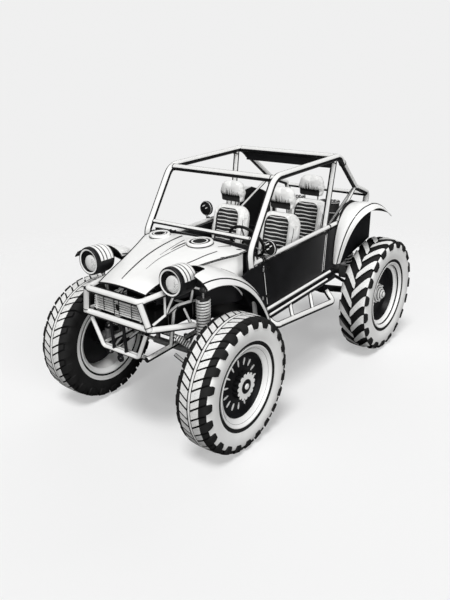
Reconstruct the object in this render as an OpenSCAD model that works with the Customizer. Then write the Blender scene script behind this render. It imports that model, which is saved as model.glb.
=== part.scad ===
// Dune buggy with an open tube cage, three seats, a rear engine and tall chevron-tread tyres.
// Millimetres. +X is the buggy's left side, -Y is the way it drives, +Z is up.
// The origin is on the ground, at the middle of the overall length and width.

/* [Wheels] */
// Distance between the front and rear axles
wheelbase = 2400; // [2300:10:2500]
// Outer radius of a front tyre
front_tyre_r = 535; // [520:1:540]
// Outer radius of a rear tyre
rear_tyre_r = 575; // [560:1:580]
// Distance between the middles of the front tyres
front_track = 1474; // [1460:1:1500]
// Distance between the middles of the rear tyres
rear_track = 1550; // [1540:1:1580]
// Width of every tyre
tyre_w = 296; // [280:1:300]
// Radius of a rim's outer lip
rim_r = 325; // [320:1:330]
// Radius of the spindles that the wheels turn on
spindle_r = 30; // [28:0.5:32]

/* [Cage] */
// Radius of the main cage tubes
cage_r = 31; // [28:0.5:32]
// Half of the width between the middles of the roof rails
cage_x = 544; // [535:1:550]
// Height of the roof tubes over the windscreen
roof_front_z = 1941; // [1900:1:1960]
// Height of the roof tubes over the rear seats
roof_rear_z = 1992; // [1970:1:2000]

/* [Body] */
// Half of the width over the side panels
side_x = 580; // [576:1:584]
// Angle of the floor to the ground, nose down
rake = 3.26; // [3:0.02:3.4]
// Radius of a headlight's bucket
lamp_r = 112; // [100:1:114]
// Thickness of the fender and hood shells
shell_t = 8; // [6:1:10]

/* [Hidden] */
$fn = 48;

// Every module below is drawn with y = 0 at the front axle, and placed() moves it to the origin.
length_front = front_tyre_r;
length_rear = wheelbase + rear_tyre_r;
front_axle_y = -(length_rear - length_front) / 2;
eps = 0.05; // radial clearance of a running fit
gap = 1;    // clearance between a panel and a tube that passes through it

// The sill's front end: the raked floor frame starts here
sill = [0, 640, 866];
sill_len = 1170;
sill_r = 20;
sill_x = [565, 580];   // upper and lower sill tubes
sill_z = [0, -66];
rail_x = 240;          // main chassis rails
rail_z = -75;
rail_r = 22;
floor_t = 14;
floor_z = rail_z + rail_r;      // underside of the floor, on the rails
floor_top = floor_z + floor_t;
floor_half = 540;

// Cage corners
a_foot = [515, 585, 0];
a_knee = [549, 448, 1400];
a_top = [cage_x, 776, roof_front_z];
b_top = [cage_x, 1762, roof_rear_z - 4];
roof_rear = [cage_x, 1838, roof_rear_z];
stay_low = [500, 2314, 1650];
stay_end = [480, 2640, 1545];
b_foot = [512, 1600, 0];
waist = [[556, 470, 1308], [560, 1830, 1379]];
roof_corner = roof_rear + [0, 8, 1];
stay_start = roof_corner + (stay_low - roof_corner) * 0.2;
cage_bend = 160;
post_r = 27;     // posts behind the doors
stay_r = 29;     // braces down to the tail
waist_r = 19;
screen_r = 19;   // tube under the windscreen opening
bumper_r = 26;

// Front suspension
kingpin_x = 620;
kingpin_r = 15;
knuckle_z = [front_tyre_r - 115, front_tyre_r + 125];
tie_rod_y = 130;
rack_r = 16;
rack_z = front_tyre_r + 62;

// End of the tube that holds the rear arms' torsion bars
torsion = [468, 1760, 742];

// Steering column, from the wheel's hub forwards and down
wheel_hub = [260, 815, 1372];
column_tilt = 30;
column_r = 12;

// Door, as corners in y and z: front top, rear top, rear bottom, front bottom
door_t = 32;
door_pts = [[590, 1288], [1620, 1342], [1584, 953], [668, 902]];

// ---------------------------------------------------------------- helpers

function unit(v) = v / norm(v);
function flat(rows) = [for (row = rows) for (p = row) p];
function bezier(p, t) =
    p[0] * pow(1 - t, 3) + 3 * p[1] * t * pow(1 - t, 2) + 3 * p[2] * t * t * (1 - t) + p[3] * pow(t, 3);
function bezier_way(p, t) =
    unit(3 * (p[1] - p[0]) * pow(1 - t, 2) + 6 * (p[2] - p[1]) * t * (1 - t) + 3 * (p[3] - p[2]) * t * t);
// A smooth step from 0 to 1
function ramp(v) = let (c = max(0, min(1, v))) c * c * (3 - 2 * c);
// A point on the raked floor frame, as a point over the ground
function raked_pt(p) = sill + [p.x, p.y * cos(rake) - p.z * sin(rake), p.y * sin(rake) + p.z * cos(rake)];
// Height over the ground of the floor's upper face at y
function floor_at(y) = sill.z + (y - sill.y) * tan(rake) + floor_top / cos(rake);

module placed() translate([0, front_axle_y, 0]) children();
module raked() translate(sill) rotate([rake, 0, 0]) children();
module both() {
    children();
    mirror([1, 0, 0]) children();
}
module sided(side) mirror([side < 0 ? 1 : 0, 0, 0]) children();

// A straight round bar from a to b
module rod(a, b, r) {
    d = b - a;
    translate(a) rotate([0, acos(d.z / norm(d)), atan2(d.y, d.x)]) cylinder(h = norm(d), r = r);
}

// How far a bend of radius bend_r reaches along each of its two straight runs
function bend_reach(a, b, c, bend_r) = bend_r * tan(acos(unit(b - a) * unit(c - b)) / 2);

// The bend at b between the runs a-b and b-c, a hair thicker than the straight runs
module elbow(a, b, c, r, bend_r) {
    u = unit(b - a);
    v = unit(c - b);
    turn = acos(u * v);
    n = unit(v - u * (u * v));
    w = cross(u, n);
    o = b - u * bend_reach(a, b, c, bend_r) + n * bend_r;
    multmatrix([[-n.x, u.x, w.x, o.x], [-n.y, u.y, w.y, o.y], [-n.z, u.z, w.z, o.z]])
        rotate_extrude(angle = turn) translate([bend_r, 0]) circle(r = r + 0.4);
}

// A bent tube through the points p
module pipe(p, r, bend_r) {
    last = len(p) - 1;
    for (i = [0 : last - 1]) {
        way = unit(p[i + 1] - p[i]);
        start = i == 0 ? p[0] : p[i] + way * (bend_reach(p[i - 1], p[i], p[i + 1], bend_r) - 1);
        end = i == last - 1 ? p[last] : p[i + 1] - way * (bend_reach(p[i], p[i + 1], p[i + 2], bend_r) - 1);
        rod(start, end, r);
    }
    if (last > 1) for (i = [1 : last - 1]) elbow(p[i - 1], p[i], p[i + 1], r, bend_r);
}

// A closed sheet between two grids of points, outer and inner, each a list of equal rows
module sheet(outer, inner) {
    rows = len(outer);
    k = len(outer[0]);
    loop = 2 * k;
    pts = [for (i = [0 : rows - 1]) each concat(outer[i], [for (j = [k - 1 : -1 : 0]) inner[i][j]])];
    wall = [
        for (i = [0 : rows - 2]) for (j = [0 : loop - 1])
            let (a = i * loop + j, b = i * loop + (j + 1) % loop)
            each [[a, b, b + loop], [a, b + loop, a + loop]]
    ];
    ends = [
        for (j = [0 : k - 2])
            let (a = j, b = j + 1, c = loop - 2 - j, d = loop - 1 - j, s = (rows - 1) * loop)
            each [[a, c, b], [a, d, c], [a + s, b + s, c + s], [a + s, c + s, d + s]]
    ];
    polyhedron(points = pts, faces = concat(wall, ends), convexity = 6);
}

// A rounded slab: a plate in the y-z plane from x0 outwards
module side_plate(pts, x0, t) translate([x0, 0, 0]) rotate([90, 0, 90]) linear_extrude(t) polygon(pts);

// ---------------------------------------------------------------- floor and frame

module floor_tub() color("dimgray") difference() {
    union() {
        raked() {
            translate([-floor_half, -40, floor_z]) cube([2 * floor_half, sill_len + 80, floor_t]);
            translate([-330, -240, floor_z]) cube([660, 210, floor_t]);
            translate([-212, -360, floor_z]) cube([424, 130, floor_t]);
            both() {
                for (i = [0, 1])
                    rod([sill_x[i], 10, sill_z[i]], [sill_x[i], sill_len, sill_z[i]], sill_r);
                translate([sill_x[0] - 8, 20, sill_z[1]]) cube([16, sill_len - 30, -sill_z[1]]);
                translate([floor_half - 20, 20, floor_z]) cube([30, sill_len - 30, floor_t]);
            }
            // tunnel between the seats, and the bulkhead behind the rear ones
            translate([-45, -30, floor_top - 1]) cube([90, sill_len - 20, 90]);
            translate([-floor_half, sill_len + 24, floor_top - 1]) cube([2 * floor_half, 16, 330]);
        }
    }
    cage_legs(cage_r + gap);
}

// The rails, cross tubes and shock hoops under and ahead of the floor
module chassis_frame() color("white") {
    nose = raked_pt([rail_x, -1060, rail_z]);
    tail = raked_pt([rail_x, 1990, rail_z]);
    both() {
        rod(nose, tail, rail_r);
        pipe([raked_pt([rail_x, -790, rail_z]), [290, -150, 1085], [330, 40, 1085],
              raked_pt([rail_x, -330, rail_z])], 18, 60);
        rod([296, -126, 1085], [300, -400, 1010], 15);
        rod([300, -262, 1040], [300, -262, 1244], 13);
        pipe([[326, -2, 1085], [352, -2, 1205], [422, -2, 1205]], 13, 25);
        rod(raked_pt([rail_x, 1420, rail_z]), [330, 2100, 1250], 18);
        rod([330, 2100, 1250], raked_pt([rail_x, 1900, rail_z]), 18);
        rod([330, 2100, 1250], [406, 2226, 1285], 13);
        translate([330, 2100, 1250]) sphere(r = 25);
        translate([rail_x - 10, 1740, torsion.z]) cube([20, 40, 112]);
    }
    for (y = [-1040, -640, 1300])
        rod(raked_pt([-rail_x, y, rail_z]), raked_pt([rail_x, y, rail_z]), 18);
    rod([-330, 2100, 1250], [330, 2100, 1250], 16);
    rod([-310, -50, 1085], [310, -50, 1085], 16);
    rod([-torsion.x, torsion.y, torsion.z], torsion, 38);
}

module cage_legs(r) both() {
    foot = [a_foot.x, a_foot.y, floor_at(a_foot.y)];
    rear_foot = [b_foot.x, b_foot.y, floor_at(b_foot.y)];
    pipe([foot, a_knee, (a_knee + a_top) / 2], r, cage_bend);
    rod(rear_foot, b_top, r);
}

module roll_cage() color("white") difference() {
    union() {
        both() {
            foot = [a_foot.x, a_foot.y, floor_at(a_foot.y)];
            rear_foot = [b_foot.x, b_foot.y, floor_at(b_foot.y)];
            pipe([foot, a_knee, a_top, roof_corner, stay_start], cage_r, cage_bend);
            rod(rear_foot, b_top, post_r);
            rod(waist[0], waist[1], waist_r);
        }
        rod([-552, 508, 1496], [552, 508, 1496], screen_r);
        rod([-cage_x, 790, roof_front_z - 11], [cage_x, 790, roof_front_z - 11], cage_r - 3);
        rod([-cage_x, 1815, roof_rear_z], [cage_x, 1815, roof_rear_z], cage_r - 2);
    }
    raked() translate([-700, -200, floor_top - 100]) cube([1400, 1600, 100]);
}

// The braces from the roof's rear corners down to the tail
module rear_stays() color("white") difference() {
    union() {
        both() {
            pipe([stay_start + unit(stay_low - roof_corner), stay_low, stay_end, [stay_end.x - 60, 2625, 962]],
                 stay_r, 70);
            rod([557, 1848, 1382], [stay_low.x + 6, stay_low.y - 12, stay_low.z], 15);
            rod([330, 2100, 1250], [stay_low.x + 2, stay_low.y - 20, stay_low.z], 16);
        }
        rod([1 - stay_end.x, stay_end.y, stay_end.z - 20], [stay_end.x - 1, stay_end.y, stay_end.z - 20], 22);
    }
    rod([-350, 2100, 1250], [350, 2100, 1250], 16 + gap);
    both() rod([330, 2100, 1250], raked_pt([rail_x, 1900, rail_z]), 18 + gap);
    both() rod([330, 2100, 1250], [412, 2236, 1288], 14 + gap);
    both() translate([330, 2100, 1250]) sphere(r = 25 + gap);
    both() rod(raked_pt([rail_x, 1420, rail_z]), [330, 2100, 1250], 18 + gap);
}

// A dark padded board under the rear roof tube
module roof_visor() color("black")
    translate([-470, 1822, roof_rear_z - cage_r - 84]) cube([940, 20, 83]);

// ---------------------------------------------------------------- front end

bumper_top = [[-300, -262, 1222], [-272, -492, 1208], [272, -492, 1208], [300, -262, 1222]];
bumper_low = [[-440, -100, 955], [-330, -462, 1003], [330, -462, 1003], [440, -100, 955]];
guard = [[-300, -452, 985], [-185, -440, 742], [185, -440, 742], [300, -452, 985]];

module front_bumper() color("white") difference() {
    union() {
        pipe(bumper_top, bumper_r, 45);
        pipe(bumper_low, bumper_r, 45);
        both() rod([330, -462, 1003], [272, -492, 1208], bumper_r);
        both() rod([434, -120, 958], [322, -90, 1076], 13);
    }
    both() rod(raked_pt([rail_x, -1061, rail_z]), raked_pt([rail_x, -1000, rail_z]), rail_r + gap);
    both() rod([296, -126, 1085], [300.4, -407.5, 1008], 15 + gap);
    both() rod([300, -262, 1040], [300, -262, 1260], 13 + gap);
    both() rod([290, -150, 1085], [330, 40, 1085], 18 + gap);
}

// The guard under the bumper, in front of the rails' ends
module skid_guard() color("white") difference() {
    union() {
        pipe(guard, 18, 40);
        for (x = [-70, 60]) rod([x, -460, 1003], [x, -440, 742], 13);
        // tow eye under the middle of the guard
        translate([0, -448, 690]) rotate([90, 0, 0]) difference() {
            union() {
                cylinder(h = 16, r = 30, center = true);
                translate([-30, 0, -8]) cube([60, 52, 16]);
            }
            cylinder(h = 40, r = 13, center = true);
        }
    }
    pipe(bumper_low, bumper_r + gap, 45);
    both() rod(raked_pt([rail_x, -1061, rail_z]), raked_pt([rail_x, -1000, rail_z]), rail_r + gap);
    rod(raked_pt([-rail_x, -1040, rail_z]), raked_pt([rail_x, -1040, rail_z]), 18 + gap);
}

// The nose panel, with its slatted opening inside the bumper's frame
module grille() color("gainsboro") {
    translate([0, -410, 0]) rotate([90, 0, 0]) linear_extrude(22)
        polygon([[-275, 1030], [275, 1030], [248, 1205], [-248, 1205]]);
    for (z = [1044 : 20 : 1170]) let (half = 266 - (z - 1030) * 0.15)
        translate([-half, -448, z]) cube([2 * half, 20, 8]);
    for (x = [-236, -40, 10, 140, 226]) translate([x, -450, 1038]) cube([10, 22, 140]);
}

// Half width and edge height of the hood at y, and the drop from its middle to its edge
hood_rear = 490;
hood_front = -398;
function hood_half(y) = min(501, 245 + 300 * pow(max(0, (y + 400) / 850), 1.6));
function hood_edge_z(y) = 1406 - 151 * pow(max(0, (450 - y) / 850), 1.5);
function hood_z(x, y) = hood_edge_z(y) + 30 * (1 - pow(x / hood_half(y), 2));
function hood_pt(u, v, drop) =
    let (
        y0 = hood_rear + v * (hood_front - hood_rear),
        y = y0 - 26 * pow(v, 8) * (1 - u * u),
        x = u * hood_half(y0)
    )
    [x, y, hood_edge_z(y0) + 30 * (1 - u * u) - 26 * pow(v, 10) - drop];

module hood() color("white") difference() {
    union() {
        hood_skin();
        both() translate([285, hood_axis.x, hood_axis.y]) {
            rotate([0, 90, 0]) cylinder(h = 30, r = hinge_r);
            translate([0, -24, -24]) cube([30, 24, 20]);
        }
    }
    rod([-400, hood_axis.x, hood_axis.y], [400, hood_axis.x, hood_axis.y], hinge_pin_r + eps);
}
module hood_skin() {
    us = [for (i = [-8 : 8]) i / 8];
    vs = [for (i = [0 : 16]) i / 16];
    sheet([for (v = vs) [for (u = us) hood_pt(u, v, 0)]],
          [for (v = vs) [for (u = us) hood_pt(u, v, shell_t)]]);
}

// Two low round caps on the hood near the cowl
module hood_caps() color("black")
    for (p = [[-338, 388, 92], [118, 366, 112]])
        translate([p.x, p.y, hood_z(p.x, p.y) - 1]) rotate([5, 0, 0]) difference() {
            cylinder(h = 28, r = p.z);
            translate([0, 0, -8]) rotate([-1, 0, 0]) cylinder(h = 10, r = p.z + 20);
        }

// The cowl, its side walls ahead of the doors, the firewall and the dashboard
module cowl() color("black") difference() {
    union() {
        // scuttle behind the hood
        sheet([for (y = [524, 511, 498]) [for (u = [-8 : 8]) cowl_pt(u / 8, y, 0)]],
              [for (y = [524, 511, 498]) [for (u = [-8 : 8]) cowl_pt(u / 8, y, 12)]]);
        // firewall, leaning back to clear the steered tyres
        side_plate([[457, 1384], [469, 1384], [588, 900], [576, 900]], -500, 1000);
        // dashboard
        side_plate([[506, 1444], [560, 1432], [600, 1350], [560, 1250], [545, 1250], [560, 1345], [506, 1400]],
                   -500, 1000);
        both() side_plate(concat(
            [for (t = [0.62 : 0.08 : 0.94]) let (p = bezier(front_lip, t), w = bezier_way(front_lip, t))
                [p.y - w.z * (75 - 30 * t), p.z + w.y * (75 - 30 * t)]],
            [[660, 905], [582, 1286], [440, 1286]]), side_x - 12, 8);
        both() side_plate([[540, 1286], [582, 1286], [660, 905], [640, 903]], side_x - 24, 14);
        both() side_plate([[470, 1396], [525, 1396], [556, 1335], [584, 1250], [550, 1250], [520, 1330]], 506, 52);
    }
    cage_legs(cage_r + gap);
    both() rod(waist[0], waist[1], waist_r + gap);
    rod([-560, 508, 1496], [560, 508, 1496], screen_r + gap);
    column_hole();
}
module cowl_with_pins() {
    cowl();
    color("black") hinge_pins();
}
function cowl_pt(u, y, drop) =
    [u * 545, y, hood_edge_z(hood_rear) + 30 * (1 - u * u) + (y - hood_rear - 8) * 0.3 - drop];

module column_hole() translate(wheel_hub) rotate([column_tilt - 90, 0, 0]) rotate([180, 0, 0])
    translate([0, 0, -10]) cylinder(h = 800, r = 24 + gap);

// Inner sides of the nose, under the edges of the hood
module nose_sides() color("black") both() {
    ys = [for (i = [10 : -1 : 0]) -290 + 74 * i];
    sheet([for (y = ys) nose_side(y, 22)], [for (y = ys) nose_side(y, 16)]);
}
function nose_side(y, inset) = [for (t = [0, 0.5, 1])
    [hood_half(y) - inset, y, nose_low(y) + t * (hood_edge_z(y) - 14 - nose_low(y))]];
// The lower edge clears the shock hoops, and drops behind them
function nose_low(y) = 1124 - 114 * max(0, min(1, (y - 40) / 100));

module fuel_tank() color("black") translate([-185, -250, 860]) cube([370, 560, 190]);

// ---------------------------------------------------------------- fenders

front_lip = [[0, -365, 1340], [0, -40, 1420], [0, 385, 1275], [0, 592, 812]];
fender_out = 684;

// A point across a front fender: u from the hood's edge to the outer lip, t along it
function front_fender_pt(u, t0, drop) =
    let (
        start = 0.12 + 0.15 * (1 - ramp((u - 0.58) / 0.14)),
        t = start + (1 - start) * t0,
        p = bezier(front_lip, t),
        w = bezier_way(front_lip, t),
        n = [0, -w.z, w.y],
        inner_x = min(548, hood_half(min(p.y, 440)) + 9),
        crown = 66 - 30 * t,
        edge = 12 * pow(1 - t, 2),
        d = crown * sin(180 * pow(u, 0.8)) + edge * (1 - u) - 34 * pow(u, 12) - drop
    )
    p + [inner_x + (fender_out - inner_x) * u, 0, 0] + n * d;

module front_fender(side) color("white") sided(side) difference() {
    us = [for (i = [0 : 16]) i / 16];
    ts = [for (i = [18 : -1 : 0]) i / 18];
    sheet([for (t = ts) [for (u = us) front_fender_pt(u, t, 0)]],
          [for (t = ts) [for (u = us) front_fender_pt(u, t, shell_t)]]);
    headlight_shape(lamp_r + 4, 10);
    cage_legs(cage_r + gap);
    raked() translate([400, -60, floor_z - 3]) cube([floor_half - 397, 200, floor_t + 6]);
}

rear_lip = [[0, 1775, 1010], [0, 1740, 1500], [0, 2000, 1700], [0, 2500, 1395]];
function rear_fender_pt(u, t, drop) =
    let (
        p = bezier(rear_lip, t),
        w = bezier_way(rear_lip, t),
        n = [0, -w.z, w.y],
        inner_x = side_x + 4,
        outer_x = 640 + 190 * pow(min(1, t * 1.6), 0.9),
        d = 16 * sin(180 * u) - 24 * pow(u, 12) - drop
    )
    p + [inner_x + (outer_x - inner_x) * u, 0, 0] + n * d;

module rear_fender(side) color("white") sided(side) {
    us = [for (i = [0 : 8]) i / 8];
    ts = [for (i = [20 : -1 : 0]) i / 20];
    sheet([for (t = ts) [for (u = us) rear_fender_pt(u, t, 0)]],
          [for (t = ts) [for (u = us) rear_fender_pt(u, t, shell_t)]]);
}

// Black body sides behind the doors
module quarter_panels() color("black") difference() {
    both() side_plate(
        [[1594, 960], [1630, 1346], [1840, 1357], [1870, 1480], [1960, 1552], [2080, 1570],
         [2300, 1500], [2550, 1395], [2550, 1100], [2260, 1040], [1980, 975], [1810, 965]],
        side_x - 3, 6);
    cage_legs(cage_r + gap);
}

// ---------------------------------------------------------------- sides and lamps

module side_bars() color("white") difference() {
    both() {
        pipe([[500, 700, 815], [655, 690, 742], [655, 1690, 664], [500, 1740, 790]], 28, 60);
        for (y = [960, 1300]) rod([655, y, 742 - (y - 690) * 0.078], [570, y + 70, 842 + (y - 960) * 0.05], 18);
    }
    raked() {
        translate([-sill_x[1], -100, -400]) cube([2 * sill_x[1], 1400, 700]);
        both() rod([sill_x[1], 0, sill_z[1]], [sill_x[1], sill_len + 10, sill_z[1]], sill_r + gap);
    }
}

lamp_pos = [422, -322, 1347];
module headlight_shape(r, grow) translate(lamp_pos) rotate([90, 0, 0]) rotate([0, 0, 0])
    translate([0, 0, -190 - grow]) rotate_extrude() polygon([
        [0, 0], [r * 0.72, 0], [r * 0.93, 22], [r, 60], [r, 190 + grow], [r - 14, 196 + grow], [0, 206 + grow]
    ]);
module headlight(side) color("white") sided(side) difference() {
    union() {
        headlight_shape(lamp_r, 0);
        rod([lamp_pos.x - 40, -230, 1250], [300, -250, 1060], 14);
    }
    rod([296, -126, 1085], [300, -400, 1010], 15 + gap);
    rod([300, -262, 1040], [300, -262, 1260], 13 + gap);
}

module side_mirrors() color("black") {
    // right, on the waist rail beside the passenger
    translate([-588, 1345, 1462]) rotate([90, 0, 0]) cylinder(h = 46, r = 72);
    rod([-588, 1322, 1395], [-569, 1322, 1375], 9);
    // left, at the foot of the windscreen pillar
    translate([628, 640, 1420]) rotate([90, 0, -12]) cylinder(h = 34, r = 62);
    rod([626, 628, 1362], [575, 628, 1333], 9);
}

// ---------------------------------------------------------------- seats

seat_side = [
    [0, 40], [430, 0], [470, 60], [578, 560], [572, 592], [520, 592], [492, 566], [405, 150], [380, 120],
    [40, 150], [0, 120]
];
module seat(x, y, z) color("white") translate([x, y, z]) {
    translate([-205, 0, 0]) rotate([90, 0, 90]) linear_extrude(410) polygon(seat_side);
    both() rod([70, 546, 580], [70, 546, 606], 7);
    translate([-128, 500, 597]) rotate([90, 0, 90]) linear_extrude(256) polygon([
        [0, 28], [22, 0], [68, 0], [90, 28], [90, 160], [64, 193], [26, 193], [0, 160]
    ]);
}
module seat_at(side, y, z) {
    seat(side * seat_x, y, z);
    // runners on the raked floor
    color("black") raked() for (dx = [-165, 141])
        translate([side * seat_x + dx, (y - 600) / cos(rake), floor_top + 0.5]) cube([24, 340, 150]);
}
seat_x = 275;
seat_z = [970, 1010];
seat_y = [795, 1305];

// ---------------------------------------------------------------- engine and drive

module gearbox() color("gray") {
    translate([0, 2045, 690]) rotate([-90, 0, 0]) cylinder(h = 330, r1 = 95, r2 = 150);
    translate([0, 2375, 690]) rotate([-90, 0, 0]) cylinder(h = 90, r = 178);
}

module engine() color("dimgray") difference() {
    union() {
        translate([-130, 2466, 560]) cube([260, 380, 300]);
        both() {
            for (y = [2500, 2670]) translate([130, y + 70, 700]) rotate([0, 90, 0]) cylinder(h = 160, r = 62);
            translate([288, 2492, 625]) cube([90, 330, 150]);
        }
        translate([-290, 2520, 946]) cube([580, 150, 264]);
        translate([0, 2520, 1240]) rotate([-90, 0, 0]) cylinder(h = 150, r = 175);
        translate([-120, 2540, 855]) cube([240, 110, 80]);
        translate([0, 2665, 1240]) rotate([-90, 0, 0]) cylinder(h = 130, r = 55);
        translate([0, 2840, 760]) rotate([-90, 0, 0]) cylinder(h = 45, r = 85);
        both() translate([210, 2420, 1330]) cylinder(h = 150, r = 80);
        both() translate([175, 2385, 1175]) cube([70, 140, 160]);
    }
}

module exhaust() color("silver") {
    translate([-330, 2905, 598]) rotate([0, 90, 0]) cylinder(h = 660, r = 58);
    both() pipe([[334, 2780, 623], [334, 2780, 490], [334, 2904, 490], [310, 2904, 560]], 20, 40);
}

module rear_bumper() color("white") difference() {
    rear_hoop();
    both() rod(stay_end, [stay_end.x - 60, 2625, 962], stay_r + gap);
}
module rear_hoop() {
    tail = raked_pt([rail_x, 1990.5, rail_z]);
    both() {
        pipe([tail, tail + [0, 90, 4], [330, 2900, 960], [330, 2935, 1180]], 20, 50);
        rod([330, 2932, 1170], [424, 2644, 1150], 14);
    }
    rod([-330, 2935, 1168], [330, 2935, 1168], 20);
    rod([-330, 2916, 1030], [330, 2916, 1030], 16);
    translate([0, 2928, 985]) rotate([90, 0, 0]) difference() {
        union() {
            cylinder(h = 16, r = 32, center = true);
            translate([-32, 0, -8]) cube([64, 34, 16]);
        }
        cylinder(h = 40, r = 13, center = true);
    }
}

// ---------------------------------------------------------------- suspension

// One arm of the front suspension: two legs from the frame to an eye round the kingpin
module front_arm(eye_z, frame_z, rise) difference() {
    union() {
        for (y = [-150, 150]) rod([rail_x + 40, y, frame_z + rise * y], [kingpin_x - 26, y * 0.08, eye_z], 14);
        translate([kingpin_x, 0, eye_z - 20]) cylinder(h = 40, r = 32);
    }
    translate([kingpin_x, 0, eye_z - 60]) cylinder(h = 120, r = kingpin_r + eps);
}

module front_arms() color("white") both() {
    front_arm(knuckle_z[0], 700, 0.05);
    front_arm(knuckle_z[1], 850, 0.05);
    rod([446, -74, 548], [446, 74, 555], 13);
}

// Rear trailing arms with hub carriers and spindles, and the half shafts
module rear_arms() color("white") both() {
    hub = [rear_track / 2, wheelbase, rear_tyre_r];
    rod([500, 1790, 742], [590, wheelbase - 60, rear_tyre_r], 32);
    rod([404, 1816, 738], [580, wheelbase - 60, rear_tyre_r], 20);
    translate([555, hub.y, hub.z]) rotate([0, 90, 0]) cylinder(h = 75, r = 95);
    translate([620, hub.y, hub.z]) rotate([0, 90, 0]) cylinder(h = hub.x + 45 - 620, r = spindle_r - eps);
    rod([190, 2420, 690], [560, wheelbase, rear_tyre_r], 17);
    translate([470, 1760, 742]) rotate([0, 90, 0]) cylinder(h = 60, r = 42);
}

// Spring and damper from a low to a high point
module coilover(low, high, r) {
    up = unit(high - low);
    rod(low, high, 15);
    rod(low + up * 0.3 * norm(high - low), high - up * 62, r);
    for (p = [low, high]) translate(p) rotate([0, 90, 0]) cylinder(h = 44, r = 22, center = true);
}
module coilovers() color("gainsboro") both() {
    coilover([446, 0, 588], [446, 0, 1205], 58);
    coilover([562, 2290, 648], [440, 2240, 1290], 55);
}

module knuckle(side) color("gray") sided(side) {
    hub = [front_track / 2, 0, front_tyre_r];
    difference() {
        union() {
            translate([kingpin_x, 0, knuckle_z[0] + 30]) cylinder(h = knuckle_z[1] - knuckle_z[0] - 56, r = 34);
            translate([kingpin_x, 0, hub.z]) rotate([0, 90, 0]) cylinder(h = 60, r = 62);
        }
    }
    translate([kingpin_x, 0, knuckle_z[0] - 26]) cylinder(h = knuckle_z[1] - knuckle_z[0] + 52, r = kingpin_r);
    translate([kingpin_x + 50, 0, hub.z]) rotate([0, 90, 0])
        cylinder(h = hub.x + 45 - kingpin_x - 50, r = spindle_r - eps);
    rod([kingpin_x, 20, hub.z + 32], [kingpin_x - 10, tie_rod_y, hub.z + 32], 12);
    translate([kingpin_x - 10, tie_rod_y, hub.z + 24]) cylinder(h = 16, r = 18);
}

// ---------------------------------------------------------------- steering

module steering_rack() color("silver") {
    rod([-312, tie_rod_y, rack_z], [312, tie_rod_y, rack_z], rack_r);
    both() {
        rod([307, tie_rod_y, rack_z], [596, tie_rod_y, rack_z], 10);
        translate([610, tie_rod_y, rack_z - 12]) cylinder(h = 24, r = 17);
    }
}

module steering_gear() color("gray") {
    difference() {
        rod([-190, tie_rod_y, rack_z], [190, tie_rod_y, rack_z], 30);
        rod([-200, tie_rod_y, rack_z], [200, tie_rod_y, rack_z], rack_r + eps);
    }
    both() translate([140, tie_rod_y - 12, rack_z + 26]) cube([30, 24, 110]);
    rod([168, tie_rod_y, rack_z + 20], [260, 469, 1172], 11);
    column_down() difference() {
        translate([0, 0, 70]) cylinder(h = 330, r = 24);
        translate([0, 0, 60]) cylinder(h = 200, r = column_r + eps);
    }
}
// The column's own axis: z runs from the wheel's hub forwards and down
module column_down() translate(wheel_hub) rotate([180 - (90 - column_tilt), 0, 0]) children();

module steering_wheel() color("black") column_down() {
    rotate_extrude() translate([165, 0]) circle(r = 13);
    for (a = [90, 210, 330]) rotate([0, 0, a]) rod([0, 0, 14], [165, 0, 0], 8);
    cylinder(h = 30, r = 34);
    cylinder(h = 250, r = column_r);
}

// ---------------------------------------------------------------- doors

door_axis = [584, 592];
hinge_z = [986, 1226];
hood_axis = [494, 1446];
hinge_r = 8;
hinge_pin_r = 4;

module door(side) color("black") sided(side) difference() {
    union() {
        side_plate(door_pts, side_x - door_t, door_t);
        for (z = hinge_z) translate([door_axis.x, door_axis.y, z]) {
            cylinder(h = 30, r = hinge_r);
            translate([-6, 0, 2]) cube([6, 100, 26]);
        }
    }
    for (z = hinge_z) translate([door_axis.x, door_axis.y, z - 5]) cylinder(h = 40, r = hinge_pin_r + eps);
}

// Pins of the doors' and the hood's hinges, on brackets from the cowl
module hinge_pins() both() {
    for (z = hinge_z) translate([door_axis.x, door_axis.y, z - 9]) {
        cylinder(h = 44, r = hinge_pin_r);
        translate([-16, -14, 0]) cube([22, 22, 8]);
    }
    translate([270, hood_axis.x, hood_axis.y]) rotate([0, 90, 0]) cylinder(h = 60, r = hinge_pin_r);
    for (x = [270, 322]) translate([x, hood_axis.x - 6, hood_axis.y - 8]) cube([8, 32, 14]);
}

// ---------------------------------------------------------------- wheels

// Rim and hub on the z axis, outer face up
module rim_shape(lip) {
    half = tyre_w / 2 - 20;
    difference() {
        rotate_extrude() polygon([
            [spindle_r, -20], [70, -20], [70, 20], [110, 26], [lip - 72, half - 70], [lip - 31, half - 78],
            [lip - 31, -half + 12], [lip - 22, -half], [lip, -half], [lip, -half + 8], [lip - 22, -half + 13],
            [lip - 22, half - 13], [lip, half - 8], [lip, half], [lip - 22, half],
            [lip - 66, half - 44], [lip - 76, half - 52], [107, 44], [107, 96], [60, 112], [0, 112], [0, 50],
            [spindle_r, 50]
        ]);
        for (a = [0 : 30 : 330]) rotate([0, 0, a]) translate([172, 0, 0]) cylinder(h = 120, r = 24, center = true);
    }
}

module tyre_shape(r, seat_r) {
    half = tyre_w / 2;
    rotate_extrude() polygon([
        [seat_r, -half + 34], [seat_r, half - 34], [seat_r + 23, half - 30], [seat_r + 36, half - 12],
        [seat_r + 80, half], [r - 90, half], [r - 30, half - 6], [r, half - 26],
        [r, -half + 26], [r - 30, -half + 6], [r - 90, -half], [seat_r + 80, -half],
        [seat_r + 36, -half + 12], [seat_r + 23, -half + 30]
    ]);
}

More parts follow.
